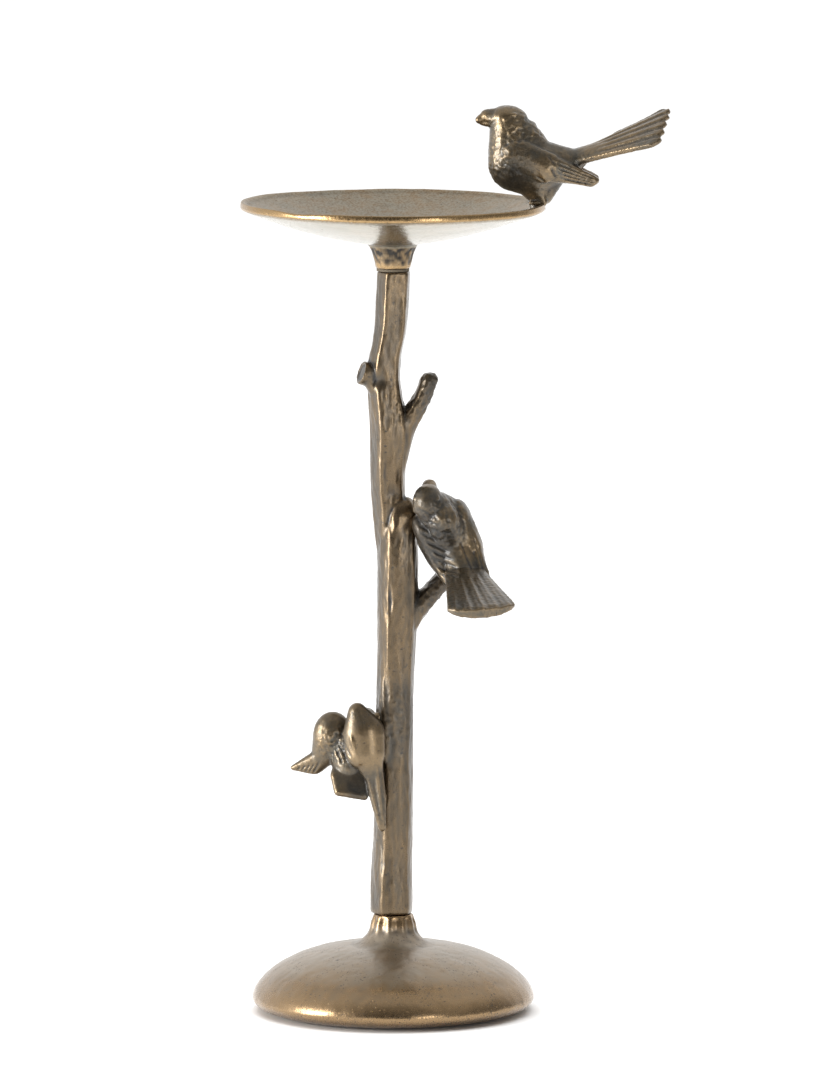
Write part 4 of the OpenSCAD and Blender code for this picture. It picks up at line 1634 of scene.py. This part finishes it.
@dataclass
class Studio:
    """The camera, a pale floor, white surroundings and soft lamps."""

    distance: float = 4.2
    height: float = 0.715
    aim: Point = (7.8, 0, 194)
    lens: float = 450.4
    sensor: float = 36

    def floor(self) -> None:
        """A plain pale floor."""
        ground = add_mesh(bpy.ops.mesh.primitive_plane_add, size=5)
        ground.name = "floor"
        bench = NodeBench("pale_floor")
        bench.shader.inputs["Base Color"].default_value = (0.92, 0.92, 0.92, 1)
        bench.shader.inputs["Roughness"].default_value = 0.9
        ground.data.materials.append(bench.material)

    def sky(self) -> None:
        """White surroundings that reflect darker at the front and the right, and dimmer overhead.

        The camera itself sees them plain white.
        """
        world = bpy.data.worlds.new("studio")
        world.use_nodes = True
        tree = world.node_tree

        def math_node(operation: str, first: bpy.types.NodeSocket,
                      second: bpy.types.NodeSocket) -> bpy.types.NodeSocket:
            """A math node on two values."""
            node = tree.nodes.new("ShaderNodeMath")
            node.operation = operation
            tree.links.new(first, node.inputs[0])
            tree.links.new(second, node.inputs[1])
            return node.outputs[0]

        place = tree.nodes.new("ShaderNodeTexCoord")
        split = tree.nodes.new("ShaderNodeSeparateXYZ")
        tree.links.new(place.outputs["Generated"], split.inputs["Vector"])
        shares = []
        for axis, *ends in (("Y", -1.0, -0.05, 0.1, 1.08), ("Z", 0.3, 0.9, 1, 0.8),
                            ("X", 0.6, 0.98, 1, 0.25)):
            node = map_range(tree, split.outputs[axis], *ends)
            node.interpolation_type = "SMOOTHSTEP"
            shares.append(node.outputs["Result"])
        front, overhead, right = shares
        reflected = math_node("MULTIPLY", math_node("MULTIPLY", front, overhead), right)
        seen = tree.nodes.new("ShaderNodeLightPath").outputs["Is Camera Ray"]
        background = tree.nodes["Background"]
        tree.links.new(math_node("MAXIMUM", reflected, seen), background.inputs["Strength"])
        background.inputs["Color"].default_value = (1, 1, 1, 1)
        bpy.context.scene.world = world

    def overhead(self) -> None:
        """A wide overhead light for the floor alone, kept out of the reflections."""
        bpy.ops.object.select_all(action="DESELECT")
        bpy.ops.object.light_add(type="SUN", location=metre(0, 0, 1500))
        sun = bpy.context.active_object
        sun.name = "overhead"
        sun.data.energy = 2.4
        sun.data.angle = math.radians(70)
        sun.visible_glossy = False

    def lamp(self, name: str, at: Point, size: float, power: float) -> None:
        """A square soft lamp aimed at the middle of the stand.

        Args:
            name: its name.
            at: its place, in millimetres.
            size: its side, in metres.
            power: its power in watts.
        """
        bpy.ops.object.select_all(action="DESELECT")
        bpy.ops.object.light_add(type="AREA", location=metre(*at))
        lamp = bpy.context.active_object
        lamp.name = name
        lamp.data.size = size
        lamp.data.energy = power
        self.point(lamp)

    def point(self, obj: bpy.types.Object) -> None:
        """Turns a lamp or the camera towards the middle of the stand."""
        obj.rotation_euler = (metre(*self.aim) - obj.location).to_track_quat("-Z", "Y").to_euler()

    def camera(self) -> None:
        """The camera, level with the rim and looking slightly down."""
        bpy.ops.object.camera_add(location=(self.aim[0] * MM, -self.distance, self.height))
        camera = bpy.context.active_object
        self.point(camera)
        camera.data.sensor_fit = "HORIZONTAL"
        camera.data.sensor_width = self.sensor
        camera.data.lens = self.lens
        bpy.context.scene.camera = camera

    def build(self) -> None:
        """Sets up the studio."""
        self.camera()
        self.floor()
        self.sky()
        self.overhead()
        self.lamp("left_lamp", (-1560, -680, 320), 0.7, 28)
        self.lamp("right_lamp", (820, -1490, 280), 0.34, 3)
        bpy.context.scene.view_settings.view_transform = "Standard"


# ---------------------------------------------------------------- assembly


def rim_bird(finish: bpy.types.Material) -> PerchedBird:
    """The bird on the dish's rim: it faces the bowl, its tail raised and turned to the front."""
    wing_strokes = [(-13 - 0.5 * row, -2.6 - 2.1 * row, -29 + 0.5 * row, -9.4 - 0.75 * row)
                    for row in range(4)]
    return PerchedBird(
        name="rim_bird_casting", node="rim_bird", body=Body.DISH, finish=finish,
        place=placed((54, 0, 354), 0, 0, 180), tail_turn=(-28, 21, -14),
        tail=FeatherPlate(length=43, root_half=3.8, end_half=13.3, feathers=5, root_thick=3, thick=2.8,
                          step=1.1, scallop=1.8, arch=0.9, skew=-2.2),
        wing_tip=(-27, 5, -10), wing_roll=90, blade_y=7.6, beak_half=1.9,
        polished=[((6, 6, 14), 8, 0.3), ((-8, 9, -4), 6, 0.35), ((18, 0, 14), 5, 0.5),
                  ((-40, 0, 8), 20, 0.25)],
        # The darker places under the belly and the rump are painted shade.
        dulled_and_painted_light=[((6, 6, -9), 10, 0.4), ((-14, 0, -12), 8, 0.3)],
        side_strokes=[*wing_strokes, (-4.5, -8, -8, -10.4), (-9.4, 0.5, -12.4, -3.4),
                      (-10.6, -4.6, -12.6, -8.6)])


def twig_bird(finish: bpy.types.Material) -> PerchedBird:
    """The bird on the lower twig: it leans back on the trunk, its back and tail to the front."""
    back_strokes = [(9 - 3.2 * row, 9.6, 1.5 - 3.2 * row, 2.2) for row in range(9)]
    return PerchedBird(
        name="twig_bird_casting", node="twig_bird", body=Body.STAND, finish=finish,
        place=Matrix.Translation(metre(22.3, -9, 201.1)) @ turned(0, -22) @ turned(0, -65, 90),
        tail_turn=(25, 47, 6),
        tail=FeatherPlate(length=44.5, root_half=8, end_half=14, feathers=5, root_thick=4, thick=2.8,
                          step=0.3, scallop=0.1, arch=0.8, bow=3.4, keel=1.9),
        wing_tip=(-23.5, 6.4, -4.4), wing_roll=20, blade_y=4.6, spread=(3.2, 1), beak_half=2.8,
        head_at=(9.4, 3.2, 11.5), head_turn=(0, 35, -22), head_size=0.88, chest=0.6,
        polished=[((-10, -7, 2), 9, 0.45), ((18, 0, 14), 5, 0.6), ((-48, -6, 12), 9, 0.3)],
        # The darker places on the bird's left, the side that lies against the trunk, are painted shade.
        dulled_and_painted_light=[((-2, 6, 3), 15, 0.6), ((8, 3, 14), 8, 0.3), ((-32, 5, 6), 10, 0.2)],
        top_strokes=[*back_strokes, (-6, -9.4, -24, -7.4), (-8, -3.4, -23, -3.4)])


def main() -> None:
    """Builds every piece of the stand in order."""
    logging.basicConfig(level=logging.INFO, format="%(message)s", stream=sys.stdout)
    Studio().build()
    polished = Bronze("bronze_cast", bright=(0.32, 0.2, 0.09), brown=(0.175, 0.118, 0.06),
                      dull_and_painted_light=(0.5, 0.45, 0.37), pit=1.9, pit_share=0.5, specks=0.9).build()
    aged = Bronze("bronze_aged", dull_and_painted_light=(0.33, 0.325, 0.27), specks=0.3, pit_share=0.08, grain=0.9,
                  grain_depth=0.06, mottle=0.75, lacquer=0.2).build()
    bark = Bronze("bronze_bark", bright=(0.15, 0.098, 0.045), brown=(0.064, 0.055, 0.041),
                  dull_and_painted_light=(0.04, 0.037, 0.031), gloss=0.3, streak=3, rubbed=0.36, pit=3.4,
                  pit_share=0.16).build()
    feathered = Bronze("bronze_feather", bright=(0.23, 0.157, 0.078), brown=(0.09, 0.08, 0.06),
                       dull_and_painted_light=(0.032, 0.031, 0.028), gloss=0.33, matte=0.46, rubbed=0.26, pit=3,
                       pit_share=0.1).build()
    felt = Pressed("wool_felt", (0.018, 0.02, 0.018), (0.05, 0.055, 0.05), 0.5, 0.12, 0.4).build()
    fibre = Pressed("vulcanised_fibre", (0.11, 0.088, 0.06), (0.16, 0.13, 0.09), 0.2, 0.02).build()
    dish = Dish(aged)
    Base(polished).build()
    Felt(felt).build()
    dish.build()
    Stem(bark).build()
    rim_bird(feathered).build()
    twig_bird(feathered).build()
    TrunkBird(feathered).build()
    Hardware(Steel().build(), fibre, dish).build()


if __name__ == "__main__":
    main()
